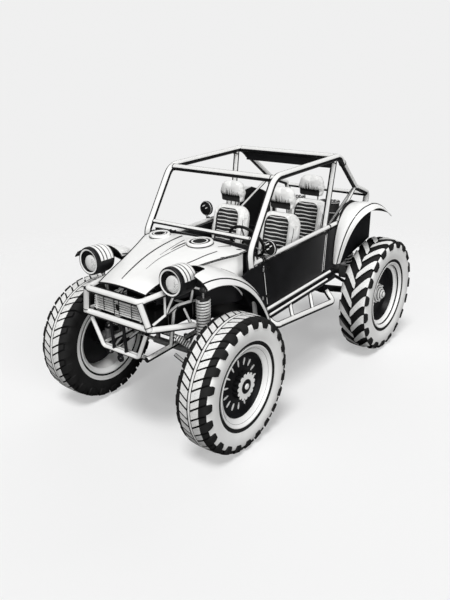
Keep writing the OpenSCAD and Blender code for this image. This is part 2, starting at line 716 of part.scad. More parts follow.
module front_wheel_at(side) sided(side) translate([front_track / 2, 0, front_tyre_r]) rotate([0, 90, 0]) children();
module rear_wheel_at(side) sided(side) translate([rear_track / 2, wheelbase, rear_tyre_r]) rotate([0, 90, 0]) children();

module rim_front(side) color("white") front_wheel_at(side) rim_shape(rim_r);
module rim_rear(side) color("white") rear_wheel_at(side) rim_shape(rim_r + 20);
module tyre_front(side) color("black") front_wheel_at(side) tyre_shape(front_tyre_r, rim_r - 22);
module tyre_rear(side) color("black") rear_wheel_at(side) tyre_shape(rear_tyre_r, rim_r - 2);

// ---------------------------------------------------------------- the nodes

placed() floor_tub();
placed() chassis_frame();
placed() roll_cage();
placed() rear_stays();
placed() roof_visor();
placed() front_bumper();
placed() skid_guard();
placed() grille();
placed() cowl_with_pins();  // cowl
placed() nose_sides();
placed() fuel_tank();
placed() front_fender(1);  // front_fender_left
placed() front_fender(-1);  // front_fender_right
placed() rear_fender(1);  // rear_fender_left
placed() rear_fender(-1);  // rear_fender_right
placed() quarter_panels();
placed() side_bars();
placed() headlight(1);  // headlight_left
placed() headlight(-1);  // headlight_right
placed() seat_at(1, seat_y[0], seat_z[0]);  // seat_front_left
placed() seat_at(-1, seat_y[0], seat_z[0]);  // seat_front_right
placed() seat_at(1, seat_y[1], seat_z[1]);  // seat_rear_left
placed() engine();
placed() exhaust();
placed() gearbox();
placed() front_arms();
placed() rear_arms();
placed() coilovers();
placed() steering_gear();
placed() side_mirrors();
placed() rear_bumper();
placed() hood();
placed() hood_caps();
placed() door(1);  // door_left
placed() door(-1);  // door_right
placed() steering_wheel();
placed() steering_rack();
placed() knuckle(1);  // knuckle_left
placed() knuckle(-1);  // knuckle_right
placed() rim_front(1);  // rim_front_left
placed() rim_front(-1);  // rim_front_right
placed() rim_rear(1);  // rim_rear_left
placed() rim_rear(-1);  // rim_rear_right
placed() tyre_front(1);  // tyre_front_left
placed() tyre_front(-1);  // tyre_front_right
placed() tyre_rear(1);  // tyre_rear_left
placed() tyre_rear(-1);  // tyre_rear_right
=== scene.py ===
import math

import bmesh
import bpy
import numpy as np
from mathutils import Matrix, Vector
from mathutils.bvhtree import BVHTree


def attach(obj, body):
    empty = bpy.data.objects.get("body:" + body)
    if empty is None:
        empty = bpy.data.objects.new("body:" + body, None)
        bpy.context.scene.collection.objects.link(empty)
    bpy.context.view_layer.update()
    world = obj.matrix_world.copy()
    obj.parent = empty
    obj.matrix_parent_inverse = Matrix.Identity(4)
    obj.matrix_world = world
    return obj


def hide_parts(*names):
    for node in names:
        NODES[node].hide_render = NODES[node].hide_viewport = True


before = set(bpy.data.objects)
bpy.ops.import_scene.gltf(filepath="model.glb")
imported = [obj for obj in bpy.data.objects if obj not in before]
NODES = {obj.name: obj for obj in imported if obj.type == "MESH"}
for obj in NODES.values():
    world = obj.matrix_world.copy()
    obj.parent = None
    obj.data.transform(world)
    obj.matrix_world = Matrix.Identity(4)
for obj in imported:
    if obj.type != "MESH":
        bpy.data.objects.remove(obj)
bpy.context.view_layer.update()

AXLE_Y = -1.22          # the front axle's y in the frame; every shape below has y = 0 there
WHEELBASE = 2.40
AXIS_R = 0.0005         # a lathed solid stops this near its own axis
rng = np.random.default_rng(7)
scene = bpy.context.scene

# ------------------------------------------------------------------ materials


def pale(v):
    """A white with a trace of warmth."""
    return (v, v, v - 0.01)


def grey(v):
    return (v, v, v)


def node(tree, kind, **values):
    """A new shader node; the names of its inputs have _ for a space."""
    made = tree.nodes.new("ShaderNode" + kind)
    for name, value in values.items():
        made.inputs[name.replace("_", " ")].default_value = value
    return made


def two_tone(tree, value, low, high, start, end):
    """A colour that goes from low to high as a value goes from start to end."""
    ramp_node = tree.nodes.new("ShaderNodeValToRGB")
    for stop, place, colour in zip(ramp_node.color_ramp.elements, (start, end), (low, high)):
        stop.position = place
        stop.color = (*colour, 1)
    tree.links.new(value, ramp_node.inputs["Fac"])
    return ramp_node.outputs["Color"]


def bumped(tree, height, strength, distance):
    made = node(tree, "Bump", Strength=strength, Distance=distance)
    tree.links.new(height, made.inputs["Height"])
    tree.links.new(made.outputs["Normal"], tree.nodes["Principled BSDF"].inputs["Normal"])


def material(name, colour, rough=0.5, metal=0.0, spec=0.5, coat=0.0, vary=0.06, scale=9.0,
             bump=0.0, bump_scale=120.0, dust=0.0, sheen=0.0):
    """A principled surface with its colour and roughness broken up by noise, in object space."""
    mat = bpy.data.materials.new(name)
    mat.use_nodes = True
    tree = mat.node_tree
    link, surface = tree.links.new, tree.nodes["Principled BSDF"]
    coord = node(tree, "TexCoord").outputs["Object"]

    def noise(size, detail):
        made = node(tree, "TexNoise", Scale=size, Detail=detail)
        link(coord, made.inputs["Vector"])
        return made.outputs["Fac"]

    grain = noise(scale, 6.0)
    low = [max(0.0, c * (1 - vary)) for c in colour]
    high = [min(1.0, c * (1 + vary)) for c in colour]
    tint = two_tone(tree, grain, low, high, 0.3, 0.7)
    if dust:
        mixed = node(tree, "MixRGB", Color2=(*pale(0.35), 1))
        link(two_tone(tree, noise(scale * 5, 8.0), grey(0), grey(dust), 0.45, 0.75), mixed.inputs["Fac"])
        link(tint, mixed.inputs["Color1"])
        tint = mixed.outputs["Color"]
    link(tint, surface.inputs["Base Color"])
    spread = node(tree, "MapRange", To_Min=max(0.03, rough - 0.07), To_Max=min(1.0, rough + 0.07))
    link(grain, spread.inputs["Value"])
    link(spread.outputs["Result"], surface.inputs["Roughness"])
    for socket, value in (("Metallic", metal), ("Specular IOR Level", spec), ("Coat Weight", coat),
                          ("Sheen Weight", sheen)):
        surface.inputs[socket].default_value = value
    if bump:
        bumped(tree, noise(bump_scale, 4.0), bump, 0.002)
    return mat


def weave(name, colour, rough, vary):
    """Cloth: two crossed sets of threads as bump, with a little colour variation."""
    thread_pitch = 0.0022
    mat = material(name, colour, rough, spec=0.2, vary=vary, scale=14.0, sheen=0.15)
    tree = mat.node_tree
    coord = node(tree, "TexCoord").outputs["Object"]
    crossed = node(tree, "Math")
    crossed.operation = "MULTIPLY"
    for k, axis in enumerate(("X", "Z")):
        wave = node(tree, "TexWave", Scale=0.314 / thread_pitch, Distortion=0.6)
        wave.bands_direction = axis
        tree.links.new(coord, wave.inputs["Vector"])
        tree.links.new(wave.outputs["Fac"], crossed.inputs[k])
    bumped(tree, crossed.outputs["Value"], 0.35, 0.0012)
    return mat


WHITE = material("white_paint", pale(0.86), 0.32, coat=0.15, vary=0.02, bump=0.03, bump_scale=300)
# the white of the tubes' stripes is a painted highlight on black tubes
TUBE_HIGHLIGHT = material("tube_painted_highlight", pale(0.74), 0.45, spec=0.3, vary=0.03, bump=0.04, bump_scale=260)
BLACK = material("black_paint", (0.008, 0.008, 0.009), 0.45, spec=0.22, vary=0.25, bump=0.03,
                 bump_scale=200)
TRIM = material("black_trim", grey(0.009), 0.55, spec=0.2, vary=0.3, bump=0.08, bump_scale=400)
RUBBER = material("tyre_rubber", grey(0.010), 0.78, spec=0.25, vary=0.3, bump=0.2, bump_scale=180)
LUG = material("lug_face", pale(0.76), 0.7, spec=0.2, vary=0.05, scale=20, bump=0.2, bump_scale=160,
               dust=0.5)
WALL = material("whitewall_rubber", pale(0.80), 0.55, spec=0.3, vary=0.03, bump=0.06, bump_scale=220)
LINE = material("black_line", grey(0.006), 0.6, spec=0.2, vary=0.2)
METAL = material("cast_alloy", grey(0.30), 0.45, metal=0.7, vary=0.15, scale=30, bump=0.15, bump_scale=140)
STEEL = material("bright_steel", grey(0.62), 0.28, metal=0.9, vary=0.08, scale=20)
DARK_METAL = material("dark_casting", grey(0.045), 0.5, metal=0.4, vary=0.2, scale=25, bump=0.2,
                      bump_scale=150)
SPRING = material("spring_paint", pale(0.82), 0.35, coat=0.1, vary=0.02)
BOLSTER = weave("bolster_cloth", pale(0.78), 0.75, 0.03)
PLEAT = weave("pleat_cloth", grey(0.016), 0.85, 0.2)
PIPING_AND_HIGHLIGHT = material("seat_piping_and_painted_highlights", pale(0.74), 0.6, vary=0.03)
LENS = material("lamp_lens", pale(0.80), 0.08, spec=0.7, coat=0.5, vary=0.02)
LAMP_DARK = material("lamp_bowl", grey(0.008), 0.2, spec=0.5, vary=0.2)
MIRROR = material("mirror_face", grey(0.75), 0.05, metal=1.0, vary=0.02)

# ------------------------------------------------------------------ mesh building


class Build:
    """Collects simple solids into one mesh, each with its own material."""

    def __init__(self, *mats):
        self.mats = list(mats)
        self.v, self.f, self.m = [], [], []
        self.count = 0

    def add(self, part, mat=None):
        """A part is its points and faces, and may have a material for each face."""
        verts, faces = part[0], part[1]
        slots = part[2] if len(part) > 2 else None
        index = 0 if mat is None else self.slot(mat)
        self.v.append(np.asarray(verts, float))
        for k, face in enumerate(faces):
            self.f.append([i + self.count for i in face])
            self.m.append(index if slots is None else self.slot(slots[k]))
        self.count += len(verts)

    def both(self, part, mat=None):
        """The part and its mirror image on the other side of the buggy."""
        self.add(part, mat)
        self.add(mirrored(part), mat)

    def slot(self, mat):
        if mat not in self.mats:
            self.mats.append(mat)
        return self.mats.index(mat)

    def done(self, name, body="chassis", angle=35.0, replaces=()):
        mesh = bpy.data.meshes.new(name)
        verts = np.vstack(self.v) + np.array([0, AXLE_Y, 0])
        mesh.from_pydata(verts.tolist(), [], self.f)
        for mat in self.mats:
            mesh.materials.append(mat)
        mesh.polygons.foreach_set("material_index", self.m)
        mesh.polygons.foreach_set("use_smooth", [True] * len(self.f))
        mesh.update()
        bm = bmesh.new()
        bm.from_mesh(mesh)
        bmesh.ops.recalc_face_normals(bm, faces=bm.faces)
        bm.to_mesh(mesh)
        bm.free()
        mesh.set_sharp_from_angle(angle=math.radians(angle))
        obj = bpy.data.objects.new(name, mesh)
        scene.collection.objects.link(obj)
        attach(obj, body)
        if replaces:
            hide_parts(*replaces)

    def stand_in(self, cad_node, angle, body="chassis"):
        """Finishes the mesh as the look of a CAD node."""
        self.done(cad_node + "_look", body, angle, (cad_node,))


def unit(v):
    v = np.asarray(v, float)
    return v / np.linalg.norm(v)


def frame_for(direction):
    """Two unit vectors square to a direction."""
    d = unit(direction)
    a = np.array([0, 0, 1.0]) if abs(d[2]) < 0.9 else np.array([1.0, 0, 0])
    x = unit(np.cross(a, d))
    return x, np.cross(d, x)


def lathe(profile, origin, axis, n=96, closed=True, mats=None):
    """profile is (along the axis, radius) points; closed joins the last one to the first."""
    origin = np.asarray(origin, float)
    axis = unit(axis)
    x, y = frame_for(axis)
    rows = []
    for k in range(n):
        t = 2 * math.pi * k / n
        out = x * math.cos(t) + y * math.sin(t)
        rows.append([origin + axis * a + out * r for a, r in profile])
    m = len(profile)
    verts = [p for row in rows for p in row]
    faces, slots = [], []
    last = m if closed else m - 1
    for k in range(n):
        k2 = (k + 1) % n
        for j in range(last):
            j2 = (j + 1) % m
            faces.append([k * m + j, k * m + j2, k2 * m + j2, k2 * m + j])
            slots.append(mats[j] if mats else None)
    return (verts, faces, slots) if mats else (verts, faces)


def drum(r, a0, a1, origin, axis, n):
    """A plain cylinder from a0 to a1 along the axis."""
    return lathe([(a0, AXIS_R), (a0, r), (a1, r), (a1, AXIS_R)], origin, axis, n)


def ring(r0, r1, a0, a1, origin, axis, n):
    """A square ring between two radii."""
    return lathe([(a0, r0), (a0, r1), (a1, r1), (a1, r0)], origin, axis, n)


def disc(radius, thick, origin, axis, n=48):
    """A closed disc from origin along axis, with a rounded front edge."""
    e = min(thick, radius) * 0.3
    prof = [(0, AXIS_R), (0, radius), (thick - e, radius), (thick - e * 0.3, radius - e * 0.3),
            (thick, radius - e), (thick, AXIS_R)]
    return lathe(prof, origin, axis, n)


def fillet(points, bend, step=math.radians(9)):
    """A polyline with its corners rounded."""
    pts = [np.asarray(p, float) for p in points]
    out = [pts[0]]
    for a, b, c in zip(pts, pts[1:], pts[2:]):
        u, v = unit(b - a), unit(c - b)
        turn = math.acos(max(-1, min(1, float(u @ v))))
        if turn < 1e-3:
            out.append(b)
            continue
        reach = min(bend * math.tan(turn / 2), 0.49 * np.linalg.norm(b - a), 0.49 * np.linalg.norm(c - b))
        r = reach / math.tan(turn / 2)
        n = unit(v - u * (u @ v))
        o = b - u * reach + n * r
        count = max(2, int(math.ceil(turn / step)))
        for k in range(count + 1):
            t = turn * k / count
            out.append(o - n * r * math.cos(t) + u * r * math.sin(t))
    out.append(pts[-1])
    return out


def sweep(path, radius, n=16, closed=False):
    """A round tube along a path; radius may be a list. Ends are capped."""
    pts = [np.asarray(p, float) for p in path]
    count = len(pts)
    radii = radius if isinstance(radius, (list, tuple, np.ndarray)) else [radius] * count
    tangents = []
    for k in range(count):
        a = pts[(k - 1) % count] if closed else pts[max(0, k - 1)]
        b = pts[(k + 1) % count] if closed else pts[min(count - 1, k + 1)]
        tangents.append(unit(b - a))
    x = frame_for(tangents[0])[0]
    verts, faces = [], []
    for k in range(count):
        d = tangents[k]
        x = unit(x - d * (x @ d))
        y = np.cross(d, x)
        for j in range(n):
            t = 2 * math.pi * j / n
            verts.append(pts[k] + (x * math.cos(t) + y * math.sin(t)) * radii[k])
    loops = count if closed else count - 1
    for k in range(loops):
        k2 = (k + 1) % count
        for j in range(n):
            j2 = (j + 1) % n
            faces.append([k * n + j, k * n + j2, k2 * n + j2, k2 * n + j])
    if not closed:
        faces.append(list(range(n - 1, -1, -1)))
        faces.append([(count - 1) * n + j for j in range(n)])
    return verts, faces


def rod(a, b, r, n=20):
    return sweep([a, b], r, n)


def highlight_striped(path, r, half=37.5, n=24, lit_way=(0.5, -0.62, 0.6)):
    """A black tube with a white stripe of painted highlight along the side of it that faces forwards and up.
    """
    pts = [np.asarray(p, float) for p in path]
    d = np.asarray(lit_way, float)
    verts, faces, slots = [], [], []
    count = len(pts)
    for k in range(count):
        way = unit(pts[min(count - 1, k + 1)] - pts[max(0, k - 1)])
        x = unit(d - way * (d @ way))
        y = np.cross(way, x)
        for j in range(n):
            t = 2 * math.pi * (j + 0.5) / n
            verts.append(pts[k] + (x * math.cos(t) + y * math.sin(t)) * r)
    for k in range(count - 1):
        for j in range(n):
            j2 = (j + 1) % n
            faces.append([k * n + j, k * n + j2, (k + 1) * n + j2, (k + 1) * n + j])
            # faces within the half angle of the lit direction take the white painted highlight, the rest stay
            # black
            turn = abs((360.0 * (j + 1) / n + 180) % 360 - 180)
            slots.append(TUBE_HIGHLIGHT if turn < half else BLACK)
    faces += [list(range(n - 1, -1, -1)), [(count - 1) * n + j for j in range(n)]]
    return verts, faces, slots + [BLACK, BLACK]


def block(lo, hi, bevel=0.004, segments=2, turn=None):
    """A box with rounded edges, optionally mapped by a function."""
    bm = bmesh.new()
    bmesh.ops.create_cube(bm, size=1.0)
    lo, hi = np.asarray(lo, float), np.asarray(hi, float)
    for v in bm.verts:
        v.co = Vector(((lo + hi) / 2 + np.array(v.co) * (hi - lo)).tolist())
    if bevel:
        bmesh.ops.bevel(bm, geom=bm.edges[:], offset=bevel, segments=segments, affect="EDGES", profile=0.6)
    bm.verts.index_update()
    verts = [np.array(v.co) for v in bm.verts]
    faces = [[v.index for v in f.verts] for f in bm.faces]
    bm.free()
    if turn:
        verts = [turn(v) for v in verts]
    return verts, faces


def prism(outline, place, thick, bevel=0.0, segments=2):
    """A flat outline pushed along its normal: place(a, b, h) gives a point."""
    bm = bmesh.new()
    low = [bm.verts.new((a, b, 0)) for a, b in outline]
    high = [bm.verts.new((a, b, thick)) for a, b in outline]
    bm.faces.new(list(reversed(low)))
    bm.faces.new(high)
    k = len(outline)
    for i in range(k):
        bm.faces.new((low[i], low[(i + 1) % k], high[(i + 1) % k], high[i]))
    if bevel:
        bmesh.ops.bevel(bm, geom=bm.edges[:], offset=bevel, segments=segments, affect="EDGES", profile=0.6)
    bmesh.ops.triangulate(bm, faces=[f for f in bm.faces if len(f.verts) > 4])
    bm.verts.index_update()
    verts = [np.array(place(*v.co)) for v in bm.verts]
    faces = [[v.index for v in f.verts] for f in bm.faces]
    bm.free()
    return verts, faces


def shell(outer, inner, over=None, under=None, rim=None):
    """A closed sheet between two grids of points, with a material for each face of it and for its edge."""
    rows, cols = len(outer), len(outer[0])
    verts = [p for r in outer for p in r] + [p for r in inner for p in r]
    off = rows * cols
    faces = []
    for i in range(rows - 1):
        for j in range(cols - 1):
            a, b, c, d = i * cols + j, i * cols + j + 1, (i + 1) * cols + j + 1, (i + 1) * cols + j
            faces.append([a, b, c, d])
            faces.append([d + off, c + off, b + off, a + off])
    for j in range(cols - 1):
        faces.append([j, j + off, j + 1 + off, j + 1])
        s = (rows - 1) * cols
        faces.append([s + j + 1, s + j + 1 + off, s + j + off, s + j])
    for i in range(rows - 1):
        a, b = i * cols, (i + 1) * cols
        faces.append([b, b + off, a + off, a])
        faces.append([a + cols - 1, a + cols - 1 + off, b + cols - 1 + off, b + cols - 1])
    if over is None:
        return verts, faces
    wide = (rows - 1) * (cols - 1)
    return verts, faces, [over, under] * wide + [rim or over] * (len(faces) - 2 * wide)


def mirrored(part):
    """The same solid on the other side of the buggy."""
    verts = [np.array([-v[0], v[1], v[2]]) for v in part[0]]
    faces = [list(reversed(f)) for f in part[1]]
    return (verts, faces, part[2]) if len(part) > 2 else (verts, faces)


def sided(part, side):
    return part if side > 0 else mirrored(part)


# ------------------------------------------------------------------ wheels

SIDE_NAMES = {1: "left", -1: "right"}


class Wheel:
    def __init__(self, end, side):
        self.front = end == "front"
        self.side = side
        self.name = f"{end}_{SIDE_NAMES[side]}"
        self.r = 0.535 if self.front else 0.575
        self.x = side * (0.737 if self.front else 0.775)
        self.y = 0.0 if self.front else WHEELBASE
        self.body = "wheel_" + self.name
        self.rim = 0.325 if self.front else 0.345

    def at(self, a, r, t):
        """a outwards, r from the axle, t in radians from the top, over the front."""
        return np.array([self.x + self.side * a, self.y - r * math.sin(t), self.r + r * math.cos(t)])

    def turned(self, profile, n=120, mats=None):
        return lathe(profile, (self.x, self.y, self.r), (self.side, 0, 0), n, True, mats)


def lug(w, side, stations, t0, pale_spans):
    """One tread lug. A station, from the middle outwards, is how far out its face is and how far under the
    tyre's radius, the same two for its foot, its shift round the tyre and its half angle."""
    verts, faces, mats = [], [], []
    for a, drop, foot_a, foot_drop, shift, half in stations:
        c = t0 + shift
        for out, r, wide in ((a, w.r - drop, -half), (a, w.r - drop, half),
                             (foot_a, w.r - foot_drop, half * 1.12),
                             (foot_a, w.r - foot_drop, -half * 1.12)):
            verts.append(w.at(side * out, r, c + wide))
    k = len(stations)
    for i in range(k - 1):
        for j in range(4):
            j2 = (j + 1) % 4
            faces.append([4 * i + j, 4 * i + j2, 4 * i + 4 + j2, 4 * i + 4 + j])
            mats.append(LUG if j == 0 and i < pale_spans else RUBBER)
    faces.append([3, 2, 1, 0])
    faces.append([4 * k - 4, 4 * k - 3, 4 * k - 2, 4 * k - 1])
    return verts, faces, mats + [RUBBER, RUBBER]


def carcass_profile(w):
    """(a, r) round the tyre's section, with the material of each stretch after it."""
    R, b = w.r, w.rim
    outer = [
        (0.098, b - 0.012, RUBBER), (0.112, b - 0.002, RUBBER), (0.122, b + 0.004, RUBBER),
        (0.128, b + 0.014, RUBBER), (0.130, b + 0.024, RUBBER), (0.1295, b + 0.029, WALL),
        (0.136, b + 0.050, WALL), (0.1405, b + 0.080, WALL), (0.1415, b + 0.110, WALL),
        (0.139, R - 0.075, WALL), (0.134, R - 0.055, WALL), (0.126, R - 0.044, RUBBER),
        (0.105, R - 0.034, RUBBER), (0.060, R - 0.029, RUBBER), (0.0, R - 0.027, RUBBER),
    ]
    inner = []
    for a, r, _ in reversed(outer[:-1]):
        inner.append((-a, r, WALL if b + 0.020 < r < b + 0.055 else RUBBER))
    return outer + inner


FRONT_WIDE = [
    (0.0165, 0.0015, 0.0165, 0.045, 0.0, 0.059), (0.050, 0.0018, 0.050, 0.045, -0.042, 0.060),
    (0.085, 0.0040, 0.084, 0.048, -0.084, 0.061), (0.112, 0.0085, 0.106, 0.052, -0.114, 0.063),
    (0.131, 0.0185, 0.120, 0.058, -0.133, 0.066), (0.1435, 0.0380, 0.128, 0.070, -0.140, 0.066),
    (0.1475, 0.0600, 0.132, 0.080, -0.143, 0.062), (0.1470, 0.0830, 0.1360, 0.085, -0.145, 0.050)]
FRONT_THIN = [
    (0.0165, 0.003, 0.0165, 0.045, 0.0, 0.046), (0.050, 0.003, 0.050, 0.045, -0.042, 0.047),
    (0.085, 0.006, 0.084, 0.048, -0.084, 0.046), (0.112, 0.012, 0.106, 0.052, -0.114, 0.042),
    (0.128, 0.022, 0.118, 0.058, -0.128, 0.034)]
REAR_HOOK = [
    (-0.006, 0.003, -0.006, 0.048, 0.02, 0.050), (0.012, 0.0015, 0.012, 0.048, -0.02, 0.064),
    (0.050, 0.0018, 0.050, 0.048, -0.115, 0.068), (0.085, 0.0040, 0.084, 0.050, -0.195, 0.072),
    (0.112, 0.0085, 0.106, 0.054, -0.245, 0.078), (0.131, 0.0190, 0.120, 0.060, -0.255, 0.088),
    (0.1435, 0.0400, 0.128, 0.072, -0.250, 0.090), (0.1475, 0.0620, 0.132, 0.084, -0.245, 0.080),
    (0.1470, 0.0860, 0.1365, 0.088, -0.243, 0.062)]


def tread_front(w, build):
    """Herringbone lugs, wide and thin in turn, on both sides of a rib."""
    count = 23
    pitch = 2 * math.pi / count
    for side in (1, -1):
        for k in range(count):
            build.add(lug(w, side, FRONT_WIDE, k * pitch, 2))
            build.add(lug(w, side, FRONT_THIN, (k + 0.5) * pitch, 2))
    R = w.r
    rib = [(-0.0085, R - 0.045), (-0.0085, R - 0.004), (-0.006, R - 0.0015), (0.006, R - 0.0015),
           (0.0085, R - 0.004), (0.0085, R - 0.045)]
    build.add(w.turned(rib, 160, [RUBBER, LUG, LUG, LUG, RUBBER, RUBBER]))


def tread_rear(w, build):
    """Hooked tractor lugs that pass each other in the middle."""
    count = 19
    pitch = 2 * math.pi / count
    for side in (1, -1):
        for k in range(count):
            build.add(lug(w, side, REAR_HOOK, (k if side > 0 else k + 0.5) * pitch, 5))


def make_tyre(w):
    build = Build(RUBBER, WALL, LUG)
    profile = carcass_profile(w)
    build.add(w.turned([(a, r) for a, r, m in profile], 160, [m for a, r, m in profile]))
    if w.front:
        tread_front(w, build)
    else:
        tread_rear(w, build)
    build.stand_in("tyre_" + w.name, 32, w.body)


def dash(w, a, r0, r1, t, half, lift=0.004):
    """A raised radial wedge on the wheel's disc."""
    verts = []
    for r, h in ((r0, half * 0.45), (r0 + (r1 - r0) * 0.6, half), (r1, half * 0.5)):
        for s in (-1, 1):
            for d in (0.0, lift):
                verts.append(w.at(a(r) + d, r, t + s * h / r))
    faces = []
    for k in (0, 4):
        faces += [[k, k + 1, k + 5, k + 4], [k + 2, k + 6, k + 7, k + 3], [k + 1, k + 3, k + 7, k + 5],
                  [k, k + 4, k + 6, k + 2]]
    faces += [[0, 2, 3, 1], [8, 9, 11, 10]]
    return verts, faces


def gear(w, r_out, r_in, a0, a1, teeth):
    """A disc with a scalloped edge, white on its face and black on its edge and back as painted shade."""
    ring0, ring1 = [], []
    n = teeth * 8
    for k in range(n):
        t = 2 * math.pi * k / n
        wave = 0.5 + 0.5 * math.cos(teeth * t)
        r = r_in + (r_out - r_in) * (1 - wave ** 3)
        ring0.append(w.at(a0, r, t))
        ring1.append(w.at(a1, r, t))
    inner1 = [w.at(a1, r_in * 0.25, 2 * math.pi * k / n) for k in range(n)]
    inner0 = [w.at(a0, r_in * 0.25, 2 * math.pi * k / n) for k in range(n)]
    verts = ring0 + ring1 + inner1 + inner0
    faces, slots = [], []
    for k in range(n):
        k2 = (k + 1) % n
        for row in range(4):
            nxt = (row + 1) % 4
            faces.append([row * n + k, row * n + k2, nxt * n + k2, nxt * n + k])
            # the face is white; the edge and back are black as painted shade
            slots.append(WHITE if row == 1 else BLACK)
    return verts, faces, slots


def make_rim(w):
    b = w.rim
    build = Build(WHITE, BLACK, METAL)
    if w.front:
        lip = [(0.127, b - 0.002), (0.1285, b - 0.006), (0.127, b - 0.012), (0.119, b - 0.018),
               (0.098, b - 0.050), (0.091, b - 0.064), (0.084, b - 0.068), (0.060, b - 0.072),
               (0.050, b - 0.080), (0.046, 0.19), (0.052, 0.13), (0.060, 0.10), (0.060, 0.031),
               (-0.018, 0.031), (-0.018, 0.068), (0.034, 0.075), (0.030, 0.19), (0.036, b - 0.060),
               (0.070, b - 0.048), (0.095, b - 0.030), (0.108, b - 0.012), (0.115, b - 0.003)]
        m = [WHITE] * 6 + [BLACK] * 12 + [WHITE] * 4
        build.add(w.turned(lip, 128, m))
        groove = [(0.1118, b - 0.0305), (0.1105, b - 0.0318), (0.1075, b - 0.0300), (0.1085, b - 0.0285)]
        build.add(w.turned(groove, 128), LINE)
        for k in range(15):
            build.add(dash(w, lambda r: 0.048, 0.150, 0.205, 2 * math.pi * (k + 0.3) / 15, 0.0075, 0.006),
                      WHITE)
        build.add(gear(w, 0.110, 0.094, 0.050, 0.112, 15))
        build.add(w.turned([(0.108, AXIS_R), (0.108, 0.057), (0.1135, 0.057), (0.1145, 0.055),
                            (0.1145, AXIS_R)],
                           64), BLACK)
        build.add(w.turned([(0.112, AXIS_R), (0.112, 0.023), (0.120, 0.023), (0.123, 0.019),
                            (0.1235, AXIS_R)],
                           48), WHITE)
    else:
        lip = [(0.127, b - 0.002), (0.1285, b - 0.006), (0.127, b - 0.012), (0.119, b - 0.018),
               (0.108, b - 0.034), (0.094, b - 0.040), (0.078, b - 0.044), (0.066, b - 0.070),
               (0.048, b - 0.078), (0.010, b - 0.090), (-0.004, 0.20), (-0.004, 0.13), (0.004, 0.10),
               (0.004, 0.031), (-0.018, 0.031), (-0.018, 0.068), (-0.018, 0.20), (-0.008, b - 0.078),
               (0.040, b - 0.062), (0.060, b - 0.048), (0.088, b - 0.026), (0.108, b - 0.012),
               (0.115, b - 0.003)]
        m = [WHITE] * 4 + [BLACK] + [WHITE] * 2 + [BLACK] * 11 + [WHITE] * 5
        build.add(w.turned(lip, 128, m))
        steps = [(0.000, 0.100, 0.022), (0.022, 0.086, 0.016), (0.038, 0.066, 0.018), (0.056, 0.046, 0.020),
                 (0.076, 0.026, 0.014)]
        for a, r, h in steps:
            build.add(w.turned([(a, AXIS_R), (a, r), (a + h - 0.004, r), (a + h, r - 0.004),
                                (a + h, AXIS_R)], 72),
                      WHITE)
            build.add(w.turned([(a, r), (a, r + 0.004), (a + 0.005, r + 0.004), (a + 0.005, r)], 72), LINE)
        for k in range(5):
            t = 2 * math.pi * k / 5
            p = w.at(-0.004, 0.132, t)
            build.add(rod(p, p + np.array([w.side * 0.020, 0, 0]), 0.011, 12), WHITE)
    # barrel behind the disc
    barrel = [(0.060, b - 0.045), (-0.100, b - 0.045), (-0.120, b - 0.020), (-0.1275, b - 0.012),
              (-0.1275, b - 0.003),
              (-0.118, b - 0.003), (-0.112, b - 0.012), (-0.096, b - 0.036), (0.060, b - 0.036)]
    build.add(w.turned(barrel, 128), WHITE)
    build.stand_in("rim_" + w.name, 32, w.body)


for end in ("front", "rear"):
    for side in (1, -1):
        wheel = Wheel(end, side)
        make_tyre(wheel)
        make_rim(wheel)

# ------------------------------------------------------------------ the body's own shapes


def paint(node, mat):
    """A carried-over CAD node takes its finish through its material slots."""
    obj = NODES[node]
    if not obj.material_slots:
        obj.data.materials.append(mat)
    for place in obj.material_slots:
        place.material = mat
    obj.data.polygons.foreach_set("use_smooth", [True] * len(obj.data.polygons))
    return obj


SILL_Y, SILL_Z, RAKE = 0.640, 0.866, math.radians(3.26)


def raked(x, y, z):
    """A point on the raked floor frame, over the ground."""
    return np.array([x, SILL_Y + y * math.cos(RAKE) - z * math.sin(RAKE),
                     SILL_Z + y * math.sin(RAKE) + z * math.cos(RAKE)])


def floor_at(y):
    return SILL_Z + (y - SILL_Y) * math.tan(RAKE) - 0.039 / math.cos(RAKE)


def bezier(p, t):
    p = [np.asarray(q, float) for q in p]
    return p[0] * (1 - t) ** 3 + 3 * p[1] * t * (1 - t) ** 2 + 3 * p[2] * t * t * (1 - t) + p[3] * t ** 3


def bezier_way(p, t):
    p = [np.asarray(q, float) for q in p]
    lead = 3 * (p[1] - p[0]) * (1 - t) ** 2 + 6 * (p[2] - p[1]) * t * (1 - t)
    return unit(lead + 3 * (p[3] - p[2]) * t * t)


HOOD_REAR, HOOD_FRONT = 0.490, -0.398


def hood_half(y):
    return min(0.501, 0.245 + 0.300 * max(0.0, (y + 0.400) / 0.850) ** 1.6)


def hood_edge_z(y):
    return 1.406 - 0.151 * max(0.0, (0.450 - y) / 0.850) ** 1.5


def hood_pt(u, v, drop=0.0):
    y0 = HOOD_REAR + v * (HOOD_FRONT - HOOD_REAR)
    y = y0 - 0.026 * v ** 8 * (1 - u * u)
    return np.array([u * hood_half(y0), y, hood_edge_z(y0) + 0.030 * (1 - u * u) - 0.026 * v ** 10 - drop])


FRONT_LIP = [(0, -0.365, 1.340), (0, -0.040, 1.420), (0, 0.385, 1.275), (0, 0.592, 0.812)]
REAR_LIP = [(0, 1.775, 1.010), (0, 1.740, 1.500), (0, 2.000, 1.700), (0, 2.500, 1.395)]


def ramp(v):
    """A smooth step from 0 to 1."""
    c = max(0.0, min(1.0, v))
    return c * c * (3 - 2 * c)


